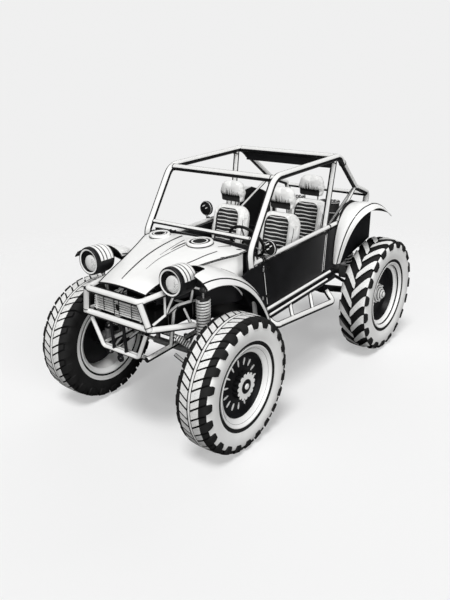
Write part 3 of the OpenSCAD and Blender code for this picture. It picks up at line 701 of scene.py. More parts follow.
def front_fender_pt(u, t, drop=0.0):
    """Inboard the fender starts behind the headlight; outboard it reaches past the lamp to the front."""
    start = 0.12 + 0.15 * (1 - ramp((u - 0.58) / 0.14))
    t = start + (1 - start) * t
    p, w = bezier(FRONT_LIP, t), bezier_way(FRONT_LIP, t)
    n = np.array([0, -w[2], w[1]])
    inner = min(0.548, hood_half(min(p[1], 0.440)) + 0.009)
    crown = 0.066 - 0.030 * t
    d = (crown * math.sin(math.pi * u ** 0.8) + 0.012 * (1 - t) ** 2 * (1 - u) - 0.034 * u ** 12 - drop)
    return p + np.array([inner + (0.684 - inner) * u, 0, 0]) + n * d


def rear_fender_pt(u, t, drop=0.0):
    p, w = bezier(REAR_LIP, t), bezier_way(REAR_LIP, t)
    n = np.array([0, -w[2], w[1]])
    outer = 0.640 + 0.190 * min(1.0, t * 1.6) ** 0.9
    d = 0.016 * math.sin(math.pi * u) - 0.024 * u ** 12 - drop
    return p + np.array([0.584 + (outer - 0.584) * u, 0, 0]) + n * d


def spaced(n, a=0.0, b=1.0):
    return [a + (b - a) * k / (n - 1) for k in range(n)]


def smooth_line(points, n):
    """Points of a curve through the given ones."""
    p = [np.asarray(q, float) for q in points]
    p = [2 * p[0] - p[1]] + p + [2 * p[-1] - p[-2]]
    out = []
    spans = len(p) - 3
    for k in range(n):
        s = min(spans - 1e-6, spans * k / (n - 1))
        i, t = int(s), s - int(s)
        a, b, c, d = p[i], p[i + 1], p[i + 2], p[i + 3]
        out.append(0.5 * (2 * b + (c - a) * t + (2 * a - 5 * b + 4 * c - d) * t * t
                          + (3 * b - a - 3 * c + d) * t ** 3))
    return out


def surface_tree(part):
    return BVHTree.FromPolygons([Vector(v.tolist()) for v in part[0]], part[1])


def drop_on(tree, x, y, lift):
    """The point of a surface under (x, y), lifted off it, and its normal."""
    hit, normal, _, _ = tree.ray_cast(Vector((x, y, 2.2)), Vector((0, 0, -1)))
    if hit is None:
        return None
    n = np.array(normal)
    if n[2] < 0:
        n = -n
    return np.array(hit) + n * lift, n


def inlay(tree, points, widths, thick=0.0022, n=36):
    """A thin strip lying on a surface, following (x, y) points, with a width at each of them."""
    path = smooth_line([(x, y, w) for (x, y), w in zip(points, widths)], n)
    rows = []
    for k, (x, y, w) in enumerate(path):
        a, b = path[max(0, k - 1)], path[min(n - 1, k + 1)]
        found = drop_on(tree, x, y, 0.0)
        if found is None:
            continue
        p, normal = found
        way = np.array([b[0] - a[0], b[1] - a[1], 0.0])
        across = unit(np.cross(normal, way))
        half = max(0.0006, w / 2)
        row = []
        for s in (-1, -0.5, 0, 0.5, 1):
            q = p + across * half * s
            low = drop_on(tree, q[0], q[1], 0.0)
            row.append(low if low is not None else (q, normal))
        rows.append(row)
    top = [[q + m * thick for q, m in row] for row in rows]
    low = [[q - m * 0.0015 for q, m in row] for row in rows]
    return shell(top, low)


# ------------------------------------------------------------------ tubes


# a black tube with a white stripe of painted highlight on its lit side; plain_tube is one colour all round
def tube(points, r, bend=0.0, n=24, half=40.0):
    return highlight_striped(fillet(points, bend) if bend else points, r, half, n)


def plain_tube(points, r, bend=0.0, n=24):
    return sweep(fillet(points, bend) if bend else points, r, n)


def bead(p, way, r):
    """The weld round a tube's end."""
    w = unit(way)
    return lathe([(-0.004, r - 0.002), (-0.003, r + 0.0022), (0, r + 0.0034), (0.003, r + 0.0022),
                  (0.004, r - 0.002)], p, w, 28)


def clamp(p, way, r, wide=0.012):
    w = unit(way)
    h = wide / 2
    return lathe([(-h, r - 0.002), (-h, r + 0.003), (-h + 0.001, r + 0.004), (h - 0.001, r + 0.004),
                  (h, r + 0.003),
                  (h, r - 0.002)], p, w, 28)


def side_tubes(b, points, *sizes):
    """A black tube with a white stripe of painted highlight and its twin on the other side, with the stripe
    on the same side of both.
    """
    for s in (1, -1):
        b.add(tube([(s * x, y, z) for x, y, z in points], *sizes))


def cross_tube(b, half, y, z, r):
    b.add(tube([(-half, y, z), (half, y, z)], r))


def u_tube(b, end, corner, r, bend, half):
    """A tube from side to side by way of a corner on each side."""
    ends = [(-x, y, z) for x, y, z in (end, corner)]
    b.add(tube([*ends, corner, end], r, bend, 24, half))


def tow_eye(b, y, z, way, r):
    eye = [(-0.008, 0.013), (-0.008, r - 0.002), (-0.006, r), (0.006, r), (0.008, r - 0.002),
           (0.008, 0.013)]
    b.add(lathe(eye, (0, y, z), (0, way, 0), 48), BLACK)


CAGE_R, POST_R, STAY_R, WAIST_R, BUMPER_R = 0.031, 0.027, 0.029, 0.019, 0.026
A_KNEE, A_TOP, ROOF_REAR = (0.549, 0.448, 1.400), (0.544, 0.776, 1.941), (0.544, 1.846, 1.993)
STAY_LOW, STAY_END = (0.500, 2.314, 1.650), (0.480, 2.640, 1.545)
STAY_START = tuple(a + (c - a) * 0.2 for a, c in zip(ROOF_REAR, STAY_LOW))


def make_cage():
    b = Build(TUBE_HIGHLIGHT, LINE, BLACK)
    foot, rear_foot = (0.515, 0.585, floor_at(0.585)), (0.512, 1.600, floor_at(1.600))
    side_tubes(b, [foot, A_KNEE, A_TOP, ROOF_REAR, STAY_START], CAGE_R, 0.160)
    side_tubes(b, [rear_foot, (0.544, 1.762, 1.988)], POST_R)
    side_tubes(b, [(0.556, 0.470, 1.308), (0.560, 1.830, 1.379)], WAIST_R, 0, 24, 62)
    b.both(bead((0.5410, 1.743, 1.946), (0, 0.38, 0.92), POST_R), LINE)
    for p in ((0.5565, 0.600, 1.3148), (0.5595, 1.700, 1.3722)):
        b.both(clamp(p, (0, 1, 0.052), WAIST_R - 0.001, 0.018), LINE)
    for p, r in (((0.512, 0.508, 1.496), 0.019), ((0.511, 0.790, 1.930), 0.028),
                 ((0.510, 1.815, 1.992), 0.026)):
        b.both(bead(p, (1, 0, 0), r), LINE)
    bolt = [(0, 0.0003), (0, 0.008), (0.006, 0.008), (0.007, 0.006), (0.007, 0.0003)]
    for p in (foot, rear_foot):
        q = np.array(p)
        b.both(block(q + [-0.045, -0.045, 0.001], q + [0.045, 0.045, 0.007], 0.002), BLACK)
        for dx in (-0.032, 0.032):
            for dy in (-0.032, 0.032):
                b.both(lathe(bolt, q + [dx, dy, 0.006], (0, 0, 1), 6), BLACK)
    cross_tube(b, 0.540, 0.508, 1.496, 0.019)
    cross_tube(b, 0.540, 0.790, 1.930, 0.028)
    cross_tube(b, 0.540, 1.815, 1.992, 0.029)
    b.stand_in("roll_cage", 40)


def make_stays():
    b = Build(TUBE_HIGHLIGHT, LINE)
    x, y, z = STAY_START
    start = (x, y + 0.001, z - 0.001)
    side_tubes(b, [start, STAY_LOW, STAY_END, (0.420, 2.625, 0.962)], STAY_R, 0.070, 24, 47)
    side_tubes(b, [(0.557, 1.848, 1.382), (0.506, 2.302, 1.650)], 0.015)
    side_tubes(b, [(0.343, 2.115, 1.285), (0.502, 2.294, 1.650)], 0.016)
    b.both(clamp(start, np.array(STAY_LOW) - start, CAGE_R - 0.001, 0.014), LINE)
    b.both(bead((0.558, 1.860, 1.389), (-0.09, 0.86, 0.5), 0.015), LINE)
    cross_tube(b, 0.479, 2.640, 1.525, 0.022)
    b.stand_in("rear_stays", 40)


def make_bumpers():
    wide = 55
    b = Build(TUBE_HIGHLIGHT, LINE, BLACK)
    low, high = (0.330, -0.462, 1.003), (0.272, -0.492, 1.208)
    u_tube(b, (0.300, -0.262, 1.222), high, BUMPER_R, 0.045, wide)
    u_tube(b, (0.440, -0.100, 0.955), low, BUMPER_R, 0.045, wide)
    side_tubes(b, [low, high], BUMPER_R, 0, 24, wide)
    side_tubes(b, [(0.434, -0.120, 0.958), (0.336, -0.094, 1.061)], 0.013)
    b.both(bead((0.3223, -0.466, 1.030), (-0.058, -0.03, 0.205), BUMPER_R), LINE)
    b.stand_in("front_bumper", 40)

    b = Build(TUBE_HIGHLIGHT, LINE, BLACK)
    u_tube(b, (0.289, -0.451, 0.962), (0.185, -0.440, 0.742), 0.018, 0.040, wide)
    for x in (-0.070, 0.060):
        b.add(rod((x, -0.4585, 0.980), (x, -0.440, 0.742), 0.013), BLACK)
        b.add(bead((x, -0.4415, 0.762), (0, 0.02, -0.26), 0.013), BLACK)
    tow_eye(b, -0.448, 0.690, -1, 0.030)
    b.add(block((-0.024, -0.456, 0.716), (0.024, -0.440, 0.742), 0.002), BLACK)
    b.stand_in("skid_guard", 40)

    b = Build(TUBE_HIGHLIGHT, LINE, BLACK)
    tail = raked(0.240, 1.9905, -0.075)
    side_tubes(b, [tail, tail + [0, 0.090, 0.004], (0.330, 2.900, 0.960), (0.330, 2.935, 1.180)], 0.020,
               0.050)
    side_tubes(b, [(0.330, 2.932, 1.170), (0.404, 2.706, 1.154)], 0.014)
    b.both(clamp(tail + [0, 0.012, 0], (0, 1, 0.05), 0.020, 0.016), LINE)
    cross_tube(b, 0.330, 2.935, 1.168, 0.020)
    cross_tube(b, 0.330, 2.916, 1.030, 0.016)
    tow_eye(b, 2.928, 0.985, 1, 0.032)
    b.add(block((-0.026, 2.920, 1.008), (0.026, 2.936, 1.022), 0.002), BLACK)
    b.stand_in("rear_bumper", 40)


def rail(y):
    """A point in the middle of the left main rail."""
    return raked(0.240, y, -0.075)


def make_frame():
    """The rails and hoops of the chassis."""
    b = Build(TUBE_HIGHLIGHT, BLACK, LINE)
    tower = (0.330, 2.100, 1.250)
    for points, r, bend in (
            ([rail(-1.060), rail(1.990)], 0.022, 0.0),
            ([rail(-0.790), (0.290, -0.150, 1.085), (0.330, 0.040, 1.085), rail(-0.330)], 0.018, 0.060),
            ([(0.296, -0.126, 1.085), (0.300, -0.400, 1.010)], 0.015, 0.0),
            ([(0.300, -0.262, 1.040), (0.300, -0.262, 1.244)], 0.013, 0.0),
            ([(0.326, -0.002, 1.085), (0.352, -0.002, 1.205), (0.422, -0.002, 1.205)], 0.013, 0.025),
            ([rail(1.420), tower], 0.018, 0.0),
            ([tower, rail(1.900)], 0.018, 0.0),
            ([tower, (0.406, 2.226, 1.285)], 0.013, 0.0)):
        side_tubes(b, points, r, bend)
    half_turn = spaced(15, -math.pi / 2, math.pi / 2)
    ball = [(0.025 * math.sin(t), max(0.0004, 0.025 * math.cos(t))) for t in half_turn]
    b.both(lathe(ball, tower, (0, 0, 1), 24, False), BLACK)
    b.both(block((0.230, 1.740, 0.742), (0.250, 1.780, 0.853), 0.003), BLACK)
    for y in (-1.040, -0.640, 1.300):
        half, cross_y, cross_z = rail(y)
        cross_tube(b, half, cross_y, cross_z, 0.018)
    cross_tube(b, 0.330, 2.100, 1.250, 0.016)
    cross_tube(b, 0.310, -0.050, 1.085, 0.016)
    cross_tube(b, 0.468, 1.760, 0.742, 0.038)
    b.stand_in("chassis_frame", 40)


def make_front_arms():
    b = Build(TUBE_HIGHLIGHT, BLACK, LINE, WHITE)
    eye = [(-0.020, 0.0151), (-0.020, 0.029), (-0.017, 0.032), (0.017, 0.032), (0.020, 0.029),
           (0.020, 0.0151)]
    for eye_z, frame_z in ((0.420, 0.700), (0.660, 0.850)):
        for y in (-0.150, 0.150):
            side_tubes(b, [(0.280, y, frame_z + 0.05 * y), (0.594, y * 0.08, eye_z)], 0.014)
        b.both(lathe(eye, (0.620, 0, eye_z), (0, 0, 1), 40), BLACK)
    b.both(rod((0.446, -0.074, 0.548), (0.446, 0.074, 0.555), 0.013), BLACK)
    # a ringed black boot on the upper arm's front leg, with a white painted highlight on the outer face of
    # each ring
    low, high = np.array([0.296, -0.143, 0.833]), np.array([0.412, -0.092, 0.766])
    rings, marks = [(0.0, 0.012), (0.0, 0.024)], [LINE, LINE]
    for k in range(7):
        a = 0.004 + 0.0185 * k
        rings += [(a, 0.026), (a + 0.011, 0.026), (a + 0.0125, 0.020), (a + 0.017, 0.020)]
        marks += [WHITE, LINE, LINE, LINE]
    rings += [(0.138, 0.024), (0.138, 0.012)]
    b.both(lathe(rings, low, high - low, 32, True, marks + [LINE, LINE]))
    b.stand_in("front_arms", 40)


def make_side_bars():
    b = Build(TUBE_HIGHLIGHT, LINE, BLACK, WHITE)
    side_tubes(b, [(0.560, 0.696, 0.787), (0.655, 0.690, 0.742), (0.655, 1.690, 0.664),
                   (0.560, 1.720, 0.741)],
               0.028, 0.060, 32)
    for y in (0.960, 1.300):
        side_tubes(b, [(0.655, y, 0.742 - (y - 0.690) * 0.078),
                       (0.580, y + 0.062, 0.826 + (y - 0.960) * 0.035)],
                   0.018)
    # white beads along the dark sill
    b.both(plain_tube([(0.582, 0.663, 0.882), (0.582, 1.726, 0.941)], 0.0125, 0, 16), WHITE)
    b.both(plain_tube([(0.594, 0.688, 0.828), (0.594, 1.656, 0.884)], 0.0090, 0, 14), WHITE)
    b.stand_in("side_bars", 40)


make_cage()
make_stays()
make_bumpers()
make_frame()
make_front_arms()
make_side_bars()

# ------------------------------------------------------------------ hood, fenders and nose

HOOD_TOP = shell([[hood_pt(u, v) for u in spaced(49, -1, 1)] for v in spaced(61)],
                 [[hood_pt(u, v, 0.008) for u in spaced(49, -1, 1)] for v in spaced(61)], WHITE, BLACK,
                 BLACK)
HOOD_TREE = surface_tree(HOOD_TOP)
FENDER = shell([[front_fender_pt(u, t) for u in spaced(33)] for t in spaced(65)],
               [[front_fender_pt(u, t, 0.008) for u in spaced(33)] for t in spaced(65)], WHITE, BLACK,
               WHITE)
FENDER_TREE = surface_tree(FENDER)


# Black strips laid on the hood along its creases and beside its caps: painted shade.
CREASE_SHADE_STRIPS = (     # points from the windscreen forwards, the widths at them, and how finely the strip is cut
    ([(-0.142, 0.452), (-0.139, 0.306), (-0.132, 0.138), (-0.110, -0.039), (-0.071, -0.212),
      (-0.041, -0.350)],
     [0.022, 0.013, 0.014, 0.013, 0.011, 0.007], 60),
    ([(0.008, 0.320), (-0.002, 0.233), (0.003, 0.147)], [0.016, 0.013, 0.002], 36),
    ([(-0.045, 0.365), (-0.033, 0.219), (-0.016, 0.043)], [0.007, 0.004, 0.001], 36),
    ([(0.038, 0.285), (0.031, 0.131), (0.024, -0.016), (0.045, -0.180)], [0.009, 0.005, 0.004, 0.001], 36),
    ([(0.333, 0.315), (0.303, 0.211), (0.281, 0.109), (0.262, 0.037), (0.250, -0.026)],
     [0.008, 0.009, 0.009, 0.008, 0.005], 36),
    ([(0.285, 0.385), (0.318, 0.440), (0.345, 0.478)], [0.002, 0.009, 0.020], 36),
    ([(0.424, 0.441), (0.440, 0.458), (0.455, 0.473)], [0.004, 0.019, 0.004], 36),
    ([(0.415, 0.250), (0.450, 0.280), (0.475, 0.300)], [0.002, 0.010, 0.012], 36))


def make_hood():
    b = Build(WHITE, BLACK, LINE)
    b.add(HOOD_TOP)
    # each strip is black, as painted shade
    for points, widths, n in CREASE_SHADE_STRIPS:
        b.add(inlay(HOOD_TREE, points, widths, n=n), LINE)
    # beads along the hood's own edges
    edge = [hood_pt(0.988, v, -0.0015) for v in spaced(40)]
    b.both(sweep(edge, 0.0042, 10), LINE)
    nose = [hood_pt(u, 0.997, -0.001) for u in spaced(40, -0.985, 0.985)]
    b.add(sweep(nose, 0.0042, 10), LINE)
    b.both(rod((0.285, 0.494, 1.446), (0.315, 0.494, 1.446), 0.0078, 20), BLACK)
    b.stand_in("hood", 30, "hood")

    b = Build(BLACK, WHITE, LINE)
    square = unit(np.array([0.0, -0.087, 0.996]))
    for x, y, r in ((-0.338, 0.388, 0.092), (0.118, 0.366, 0.112)):
        base = drop_on(HOOD_TREE, x, y, -0.001)[0]
        for line, mat in (
                ([(0.0, AXIS_R), (0.0, r), (0.004, r), (0.006, r - 0.0015), (0.006, AXIS_R)], LINE),
                ([(0.006, r - 0.004), (0.020, r - 0.004), (0.0235, r - 0.007), (0.025, r - 0.011),
                  (0.025, r - 0.024), (0.020, r - 0.026), (0.006, r - 0.026)], WHITE),
                ([(0.0055, AXIS_R), (0.0055, r - 0.027), (0.020, r - 0.027), (0.0225, r - 0.031),
                  (0.0225, AXIS_R)], LINE),
                ([(0.0215, r * 0.50), (0.0235, r * 0.50), (0.0240, r * 0.53), (0.0240, r * 0.58),
                  (0.0235, r * 0.61), (0.0215, r * 0.61)], WHITE)):
            b.add(lathe(line, base, square, 96), mat)
    b.stand_in("hood_caps", 30, "hood")


def make_front_fender(side):
    b = Build(WHITE, BLACK, LINE)
    b.add(sided(FENDER, side))
    for line, r, n, mat in (([front_fender_pt(0.915, t, -0.001) for t in spaced(70)], 0.0050, 10, LINE),
                            ([front_fender_pt(0.012, t, -0.002) for t in spaced(70, 0.02, 1.0)], 0.0046,
                             10, LINE),
                            ([front_fender_pt(1.0, t, 0.004) for t in spaced(70)], 0.0048, 12, WHITE),
                            ([front_fender_pt(u, 0.0, 0.004) for u in spaced(24)], 0.0048, 10, LINE)):
        b.add(sided(sweep(line, r, n), side), mat)
    # a dark tapered stroke on the left fender only, as painted shade
    if side > 0:
        b.add(inlay(FENDER_TREE, [(0.512, 0.130), (0.540, 0.180), (0.566, 0.228)], [0.001, 0.006, 0.002]),
              LINE)
    b.stand_in(f"front_fender_{SIDE_NAMES[side]}", 30)


def make_rear_fender(side):
    part = shell([[rear_fender_pt(u, t) for u in spaced(25)] for t in spaced(73)],
                 [[rear_fender_pt(u, t, 0.008) for u in spaced(25)] for t in spaced(73)], WHITE, BLACK,
                 WHITE)
    b = Build(WHITE, BLACK, LINE)
    b.add(sided(part, side))
    for u, drop, r, n, mat in ((0.80, -0.0015, 0.0050, 10, LINE), (0.02, -0.0015, 0.0050, 10, LINE),
                               (1.0, 0.004, 0.0046, 12, WHITE)):
        b.add(sided(sweep([rear_fender_pt(u, t, drop) for t in spaced(80)], r, n), side), mat)
    b.stand_in(f"rear_fender_{SIDE_NAMES[side]}", 30)


def make_nose_sides():
    """The inner sides of the nose: pale between the hood and the fender, black under the fender's line as
    painted shade.
    """
    arch = [bezier(FRONT_LIP, t) for t in spaced(60)]
    rows, lows = [], []
    levels = 9
    for y in spaced(41, -0.288, 0.448):
        low = 1.126 - 0.112 * max(0.0, min(1.0, (y - 0.040) / 0.100))
        top = hood_edge_z(y) - 0.016
        line = float(np.interp(y, [p[1] for p in arch], [p[2] for p in arch])) - 0.010
        line = min(max(line, low + 0.020), top - 0.004)
        cols = [low + (line - low) * k / 4 for k in range(5)]
        cols += [line + (top - line) * k / 4 for k in range(1, 5)]
        x = hood_half(y) - 0.0165
        rows.append([np.array([x, y, z]) for z in cols])
        lows.append([np.array([x - 0.0045, y, z]) for z in cols])
    verts, faces, slots = shell(rows, lows, WHITE, BLACK, BLACK)
    # the faces under the fender's line go black: painted shade
    for i in range(len(rows) - 1):
        for j in range(4):
            slots[2 * (i * (levels - 1) + j)] = BLACK
    b = Build(WHITE, BLACK, LINE)
    b.both((verts, faces, slots))
    b.stand_in("nose_sides", 30)


def make_grille():
    b = Build(WHITE, LINE, BLACK)
    panel = [(-0.275, 1.030), (0.275, 1.030), (0.248, 1.205), (-0.248, 1.205)]
    b.add(prism(panel, lambda x, z, h: (x, -0.410 - h, z), 0.020, 0.003), BLACK)
    for k in range(7):
        z = 1.0445 + 0.0185 * k
        half = 0.262 - (z - 1.030) * 0.15
        b.add(block((-half, -0.4475, z), (half, -0.428, z + 0.0092), 0.0026), WHITE)
    for x in (-0.150, -0.040, 0.010, 0.140):
        b.add(block((x, -0.4495, 1.040), (x + 0.007, -0.4285, 1.172), 0.002), LINE)
    b.both(block((0.226, -0.4495, 1.038), (0.236, -0.412, 1.177), 0.002), WHITE)
    # a blank shield in the middle of the slats
    crest = [(-0.018, 1.126), (-0.018, 1.096), (-0.010, 1.080), (0.0, 1.072), (0.010, 1.080),
             (0.018, 1.096),
             (0.018, 1.126)]
    b.add(prism(crest, lambda x, z, h: (x, -0.4485 - h * 0.3, z), 0.004), LINE)
    b.stand_in("grille", 30)


def shade_away_from(part, centre, lit_way, limit):
    """The faces of a lathed part that are turned away from a direction, in black as painted shade."""
    verts, faces, slots = part
    c, d = np.asarray(centre, float), unit(lit_way)
    out = []
    for face, mat in zip(faces, slots):
        mid = sum(np.asarray(verts[i]) for i in face) / len(face) - c
        mid[1] = 0.0
        away = np.linalg.norm(mid) > 0.095 and unit(mid) @ d < limit
        out.append(BLACK if away else mat)
    return verts, faces, out


def make_headlight(side):
    c = np.array([side * 0.422, -0.132, 1.347])
    way = (0, -1, 0)
    b = Build(WHITE, BLACK, LENS, LAMP_DARK)
    skin = [(0.000, AXIS_R, BLACK), (0.000, 0.078, BLACK), (0.020, 0.098, BLACK), (0.034, 0.105, WHITE),
            (0.060, 0.110, BLACK), (0.066, 0.1105, WHITE), (0.100, 0.1115, BLACK), (0.110, 0.112, WHITE),
            (0.134, 0.112, BLACK), (0.144, 0.112, WHITE), (0.168, 0.112, BLACK), (0.180, 0.112, BLACK),
            (0.196, 0.110, BLACK), (0.2025, 0.104, BLACK), (0.203, 0.098, WHITE), (0.200, 0.086, LAMP_DARK),
            (0.182, 0.083, LAMP_DARK), (0.160, 0.060, LAMP_DARK), (0.152, AXIS_R, LAMP_DARK)]
    bucket = lathe([(a, min(r, 0.112)) for a, r, m in skin], c, way, 96, True, [m for a, r, m in skin])
    # the bucket's faces turned away from up go black as painted shade
    b.add(shade_away_from(bucket, c, (0, 0, 1.0), 0.12))
    eye = c + np.array([0.012, 0, -0.014])
    face = [(0.150, AXIS_R), (0.150, 0.058), (0.184, 0.064), (0.189, 0.062), (0.194, 0.048),
            (0.1965, 0.028),
            (0.1975, AXIS_R)]
    b.add(lathe(face, eye, way, 80), LENS)
    # stippled shading of the glass
    for _ in range(46):
        t, r = rng.uniform(-1.1, 1.1), rng.uniform(0.022, 0.054)
        lift = float(np.interp(r, [0.0, 0.028, 0.048, 0.062], [0.1975, 0.1965, 0.194, 0.189]))
        p = eye + np.array([r * math.cos(t), -lift + 0.0006, r * math.sin(t)])
        b.add(lathe([(0.0, 0.0003), (0.0, 0.0020), (0.0012, 0.0014), (0.0012, 0.0003)], p, way, 6), LINE)
    for z in (-0.035, 0.0):
        x = side * 0.112
        b.add(block(c + [x - 0.004, -0.150, z - 0.006], c + [x, -0.118, z + 0.006], 0.001), BLACK)
    b.add(tube([(side * 0.382, -0.230, 1.250), (side * 0.300, -0.250, 1.060)], 0.014))
    b.add(drum(0.020, -0.012, 0.012, (side * 0.385, -0.229, 1.247), (side * -0.4, 0, -0.9), 24), BLACK)
    b.stand_in(f"headlight_{SIDE_NAMES[side]}", 30)


make_hood()
for side in (1, -1):
    make_front_fender(side)
    make_rear_fender(side)
    make_headlight(side)
make_nose_sides()
make_grille()

# ------------------------------------------------------------------ sides, doors and cabin


def make_door(side):
    b = Build(BLACK, WHITE, LINE, TRIM, STEEL)
    outline = [(0.592, 1.286), (1.618, 1.340), (1.582, 0.955), (0.670, 0.905)]
    b.add(sided(prism(outline, lambda y, z, h: (0.549 + h, y, z), 0.0305, 0.003), side))
    # pale lines along the shut edges, and the pull handle
    for p, q, r in (((0.5802, 0.598, 1.270), (0.5802, 0.668, 0.925), 0.0026),
                    ((0.5802, 1.612, 1.315), (0.5802, 1.580, 0.975), 0.0022)):
        b.add(sided(rod(p, q, r, 10), side), WHITE)
    b.add(sided(block((0.5770, 0.600, 1.2805), (0.5802, 1.612, 1.2860), 0.001, turn=lambda v:
                      np.array([v[0], v[1], v[2] + (v[1] - 0.600) * 0.0524])), side), TRIM)
    for z in (0.986, 1.226):
        b.add(sided(ring(0.0041, 0.0078, 0, 0.030, (0.584, 0.592, z), (0, 0, 1),
                          24), side), STEEL)
        b.add(sided(block((0.5785, 0.596, z + 0.003), (0.5840, 0.690, z + 0.027), 0.0012), side), TRIM)
        for y in (0.630, 0.670):
            b.add(sided(disc(0.0045, 0.0018, (0.5822, y, z + 0.015), (1, 0, 0), 10), side), STEEL)
    b.add(sided(plain_tube([(0.549, 1.44, 1.265), (0.528, 1.44, 1.265), (0.528, 1.56, 1.271),
                            (0.549, 1.56, 1.271)],
                           0.006, 0.012, 12), side), STEEL)
    b.stand_in(f"door_{SIDE_NAMES[side]}", 30, f"door_{SIDE_NAMES[side]}")


def make_quarters():
    outline = [(1.596, 0.962), (1.632, 1.345), (1.840, 1.356), (1.870, 1.478), (1.960, 1.550),
               (2.080, 1.568),
               (2.300, 1.498), (2.548, 1.393), (2.548, 1.102), (2.260, 1.042), (1.980, 0.977),
               (1.810, 0.967)]
    b = Build(BLACK, WHITE, LINE)
    b.both(prism(outline, lambda y, z, h: (0.5772 + h, y, z), 0.0056, 0.0012))
    b.both(sweep([(0.5836, 1.604, 0.985), (0.5836, 1.628, 1.325)], 0.0022, 8), WHITE)
    for y, z in ((1.66, 0.99), (1.66, 1.30), (1.78, 1.31), (1.77, 1.00)):
        b.both(disc(0.006, 0.0014, (0.5825, y, z), (1, 0, 0), 12), LINE)
    b.stand_in("quarter_panels", 30)


def fillet2(points, bend):
    return [(p[0], p[1]) for p in fillet([(a, b, 0) for a, b in points], bend)] if bend else points


def make_visor():
    b = Build(BLACK, TRIM)
    b.add(block((-0.469, 1.8225, 1.886), (0.469, 1.8415, 1.9665), 0.005, 3))
    for k in range(9):
        x = -0.40 + 0.10 * k
        b.add(disc(0.006, 0.0012, (x, 1.8228, 1.9000), (0, -1, 0), 12), TRIM)
    b.stand_in("roof_visor", 30)


def make_dash():
    """Gauges and switches on the dashboard, and the pale side trims of the cowl."""
    b = Build(TRIM, WHITE, STEEL, LINE)
    # the dashboard's face leans back under its brow
    a, c = np.array([0.560, 1.432]), np.array([0.600, 1.350])
    way = unit(np.array([0.0, c[0] - a[0], c[1] - a[1]]))
    out = unit(np.array([0.0, 0.90, 0.44]))
    for x, r in ((0.200, 0.026), (0.262, 0.036), (0.330, 0.026), (0.040, 0.022), (-0.020, 0.022)):
        p = np.array([x, a[0], a[1]]) + way * 0.046
        b.add(lathe([(-0.004, AXIS_R), (-0.004, r), (0.005, r), (0.006, r - 0.003), (0.003, r - 0.004),
                     (0.003, AXIS_R)], p, out, 36), STEEL)
        b.add(drum(r - 0.0045, 0.0005, 0.0036, p, out, 36), LINE)
        b.add(rod(p + out * 0.0036, p + out * 0.0042 + np.array([r * 0.55, 0, 0]) - way * r * 0.3, 0.0009,
                  6), WHITE)
    for k in range(5):
        p = np.array([-0.12 - 0.04 * k, a[0], a[1]]) + way * 0.05
        b.add(lathe([(-0.003, AXIS_R), (-0.003, 0.008), (0.003, 0.008), (0.003, 0.004), (0.014, 0.003),
                     (0.014, AXIS_R)], p, out, 16), STEEL)
    b.done("dashboard_instruments", "chassis", 30)

    b = Build(WHITE, LINE)
    # the pale strip between the fender's rear edge and the cowl's side
    strip = [(0.503, 1.366), (0.520, 1.360), (0.548, 1.296), (0.530, 1.235), (0.506, 1.215), (0.512, 1.290)]
    b.both(prism(strip, lambda y, z, h: (0.5555 + h, y, z), 0.0030, 0.0008, 1))
    b.done("cowl_side_strips", "chassis", 30)


def make_mirrors():
    b = Build(TRIM, MIRROR, WHITE, LINE, STEEL)
    near_turn = math.radians(12)
    for c, w, r, depth in (((-0.588, 1.345, 1.462), (0, -1, 0), 0.072, 0.046),
                           ((0.628, 0.640, 1.420), (-math.sin(near_turn), -math.cos(near_turn), 0), 0.062,
                            0.034)):
        cup = [(0.000, AXIS_R), (0.000, r - 0.010), (0.003, r - 0.003), (depth * 0.45, r),
               (depth - 0.006, r * 0.86),
               (depth - 0.001, r * 0.5), (depth, AXIS_R)]
        b.add(lathe(cup, c, w, 56), TRIM)
        b.add(lathe([(0.0, r - 0.016), (0.0, r - 0.008), (0.004, r - 0.006), (0.004, r - 0.016)], c, w,
                    56), WHITE)
        b.add(lathe([(depth * 0.62, r * 0.90), (depth * 0.62, r * 0.955), (depth * 0.70, r * 0.94),
                     (depth * 0.70, r * 0.86)], c, w, 56), WHITE)
        b.add(drum(r - 0.014, 0.0004, 0.003, c, w, 56), MIRROR)
    # pale marks on the backs of the two mirrors: painted highlights
    for x, y, z, long in ((0.606, 0.6045, 1.452, 0.030), (0.640, 0.6035, 1.440, 0.024),
                          (0.612, 0.6055, 1.412, 0.022),
                          (0.645, 0.6055, 1.405, 0.018), (-0.600, 1.2985, 1.490, 0.030),
                          (-0.570, 1.2985, 1.470, 0.026)):
        b.add(block((x - long / 2, y - 0.001, z - 0.005), (x + long / 2, y + 0.003, z + 0.005), 0.001, 1,
                    lambda v, x=x, z=z: np.array([v[0], v[1], v[2] + (v[0] - x) * 0.5])), WHITE)
    b.add(rod((-0.588, 1.322, 1.395), (-0.571, 1.322, 1.377), 0.0088, 16), STEEL)
    b.add(rod((0.626, 0.628, 1.362), (0.577, 0.628, 1.334), 0.0088, 16), STEEL)
    for c in ((-0.566, 1.322, 1.366), (0.566, 0.628, 1.327)):
        b.add(block(np.array(c) + [-0.012, -0.016, -0.014], np.array(c) + [0.012, 0.016, 0.016], 0.003),
              TRIM)
    b.stand_in("side_mirrors", 30)


HUB = np.array([0.260, 0.815, 1.372])
TILT = math.radians(30)
COLUMN = np.array([0.0, -math.cos(TILT), -math.sin(TILT)])     # down the steering column, forwards


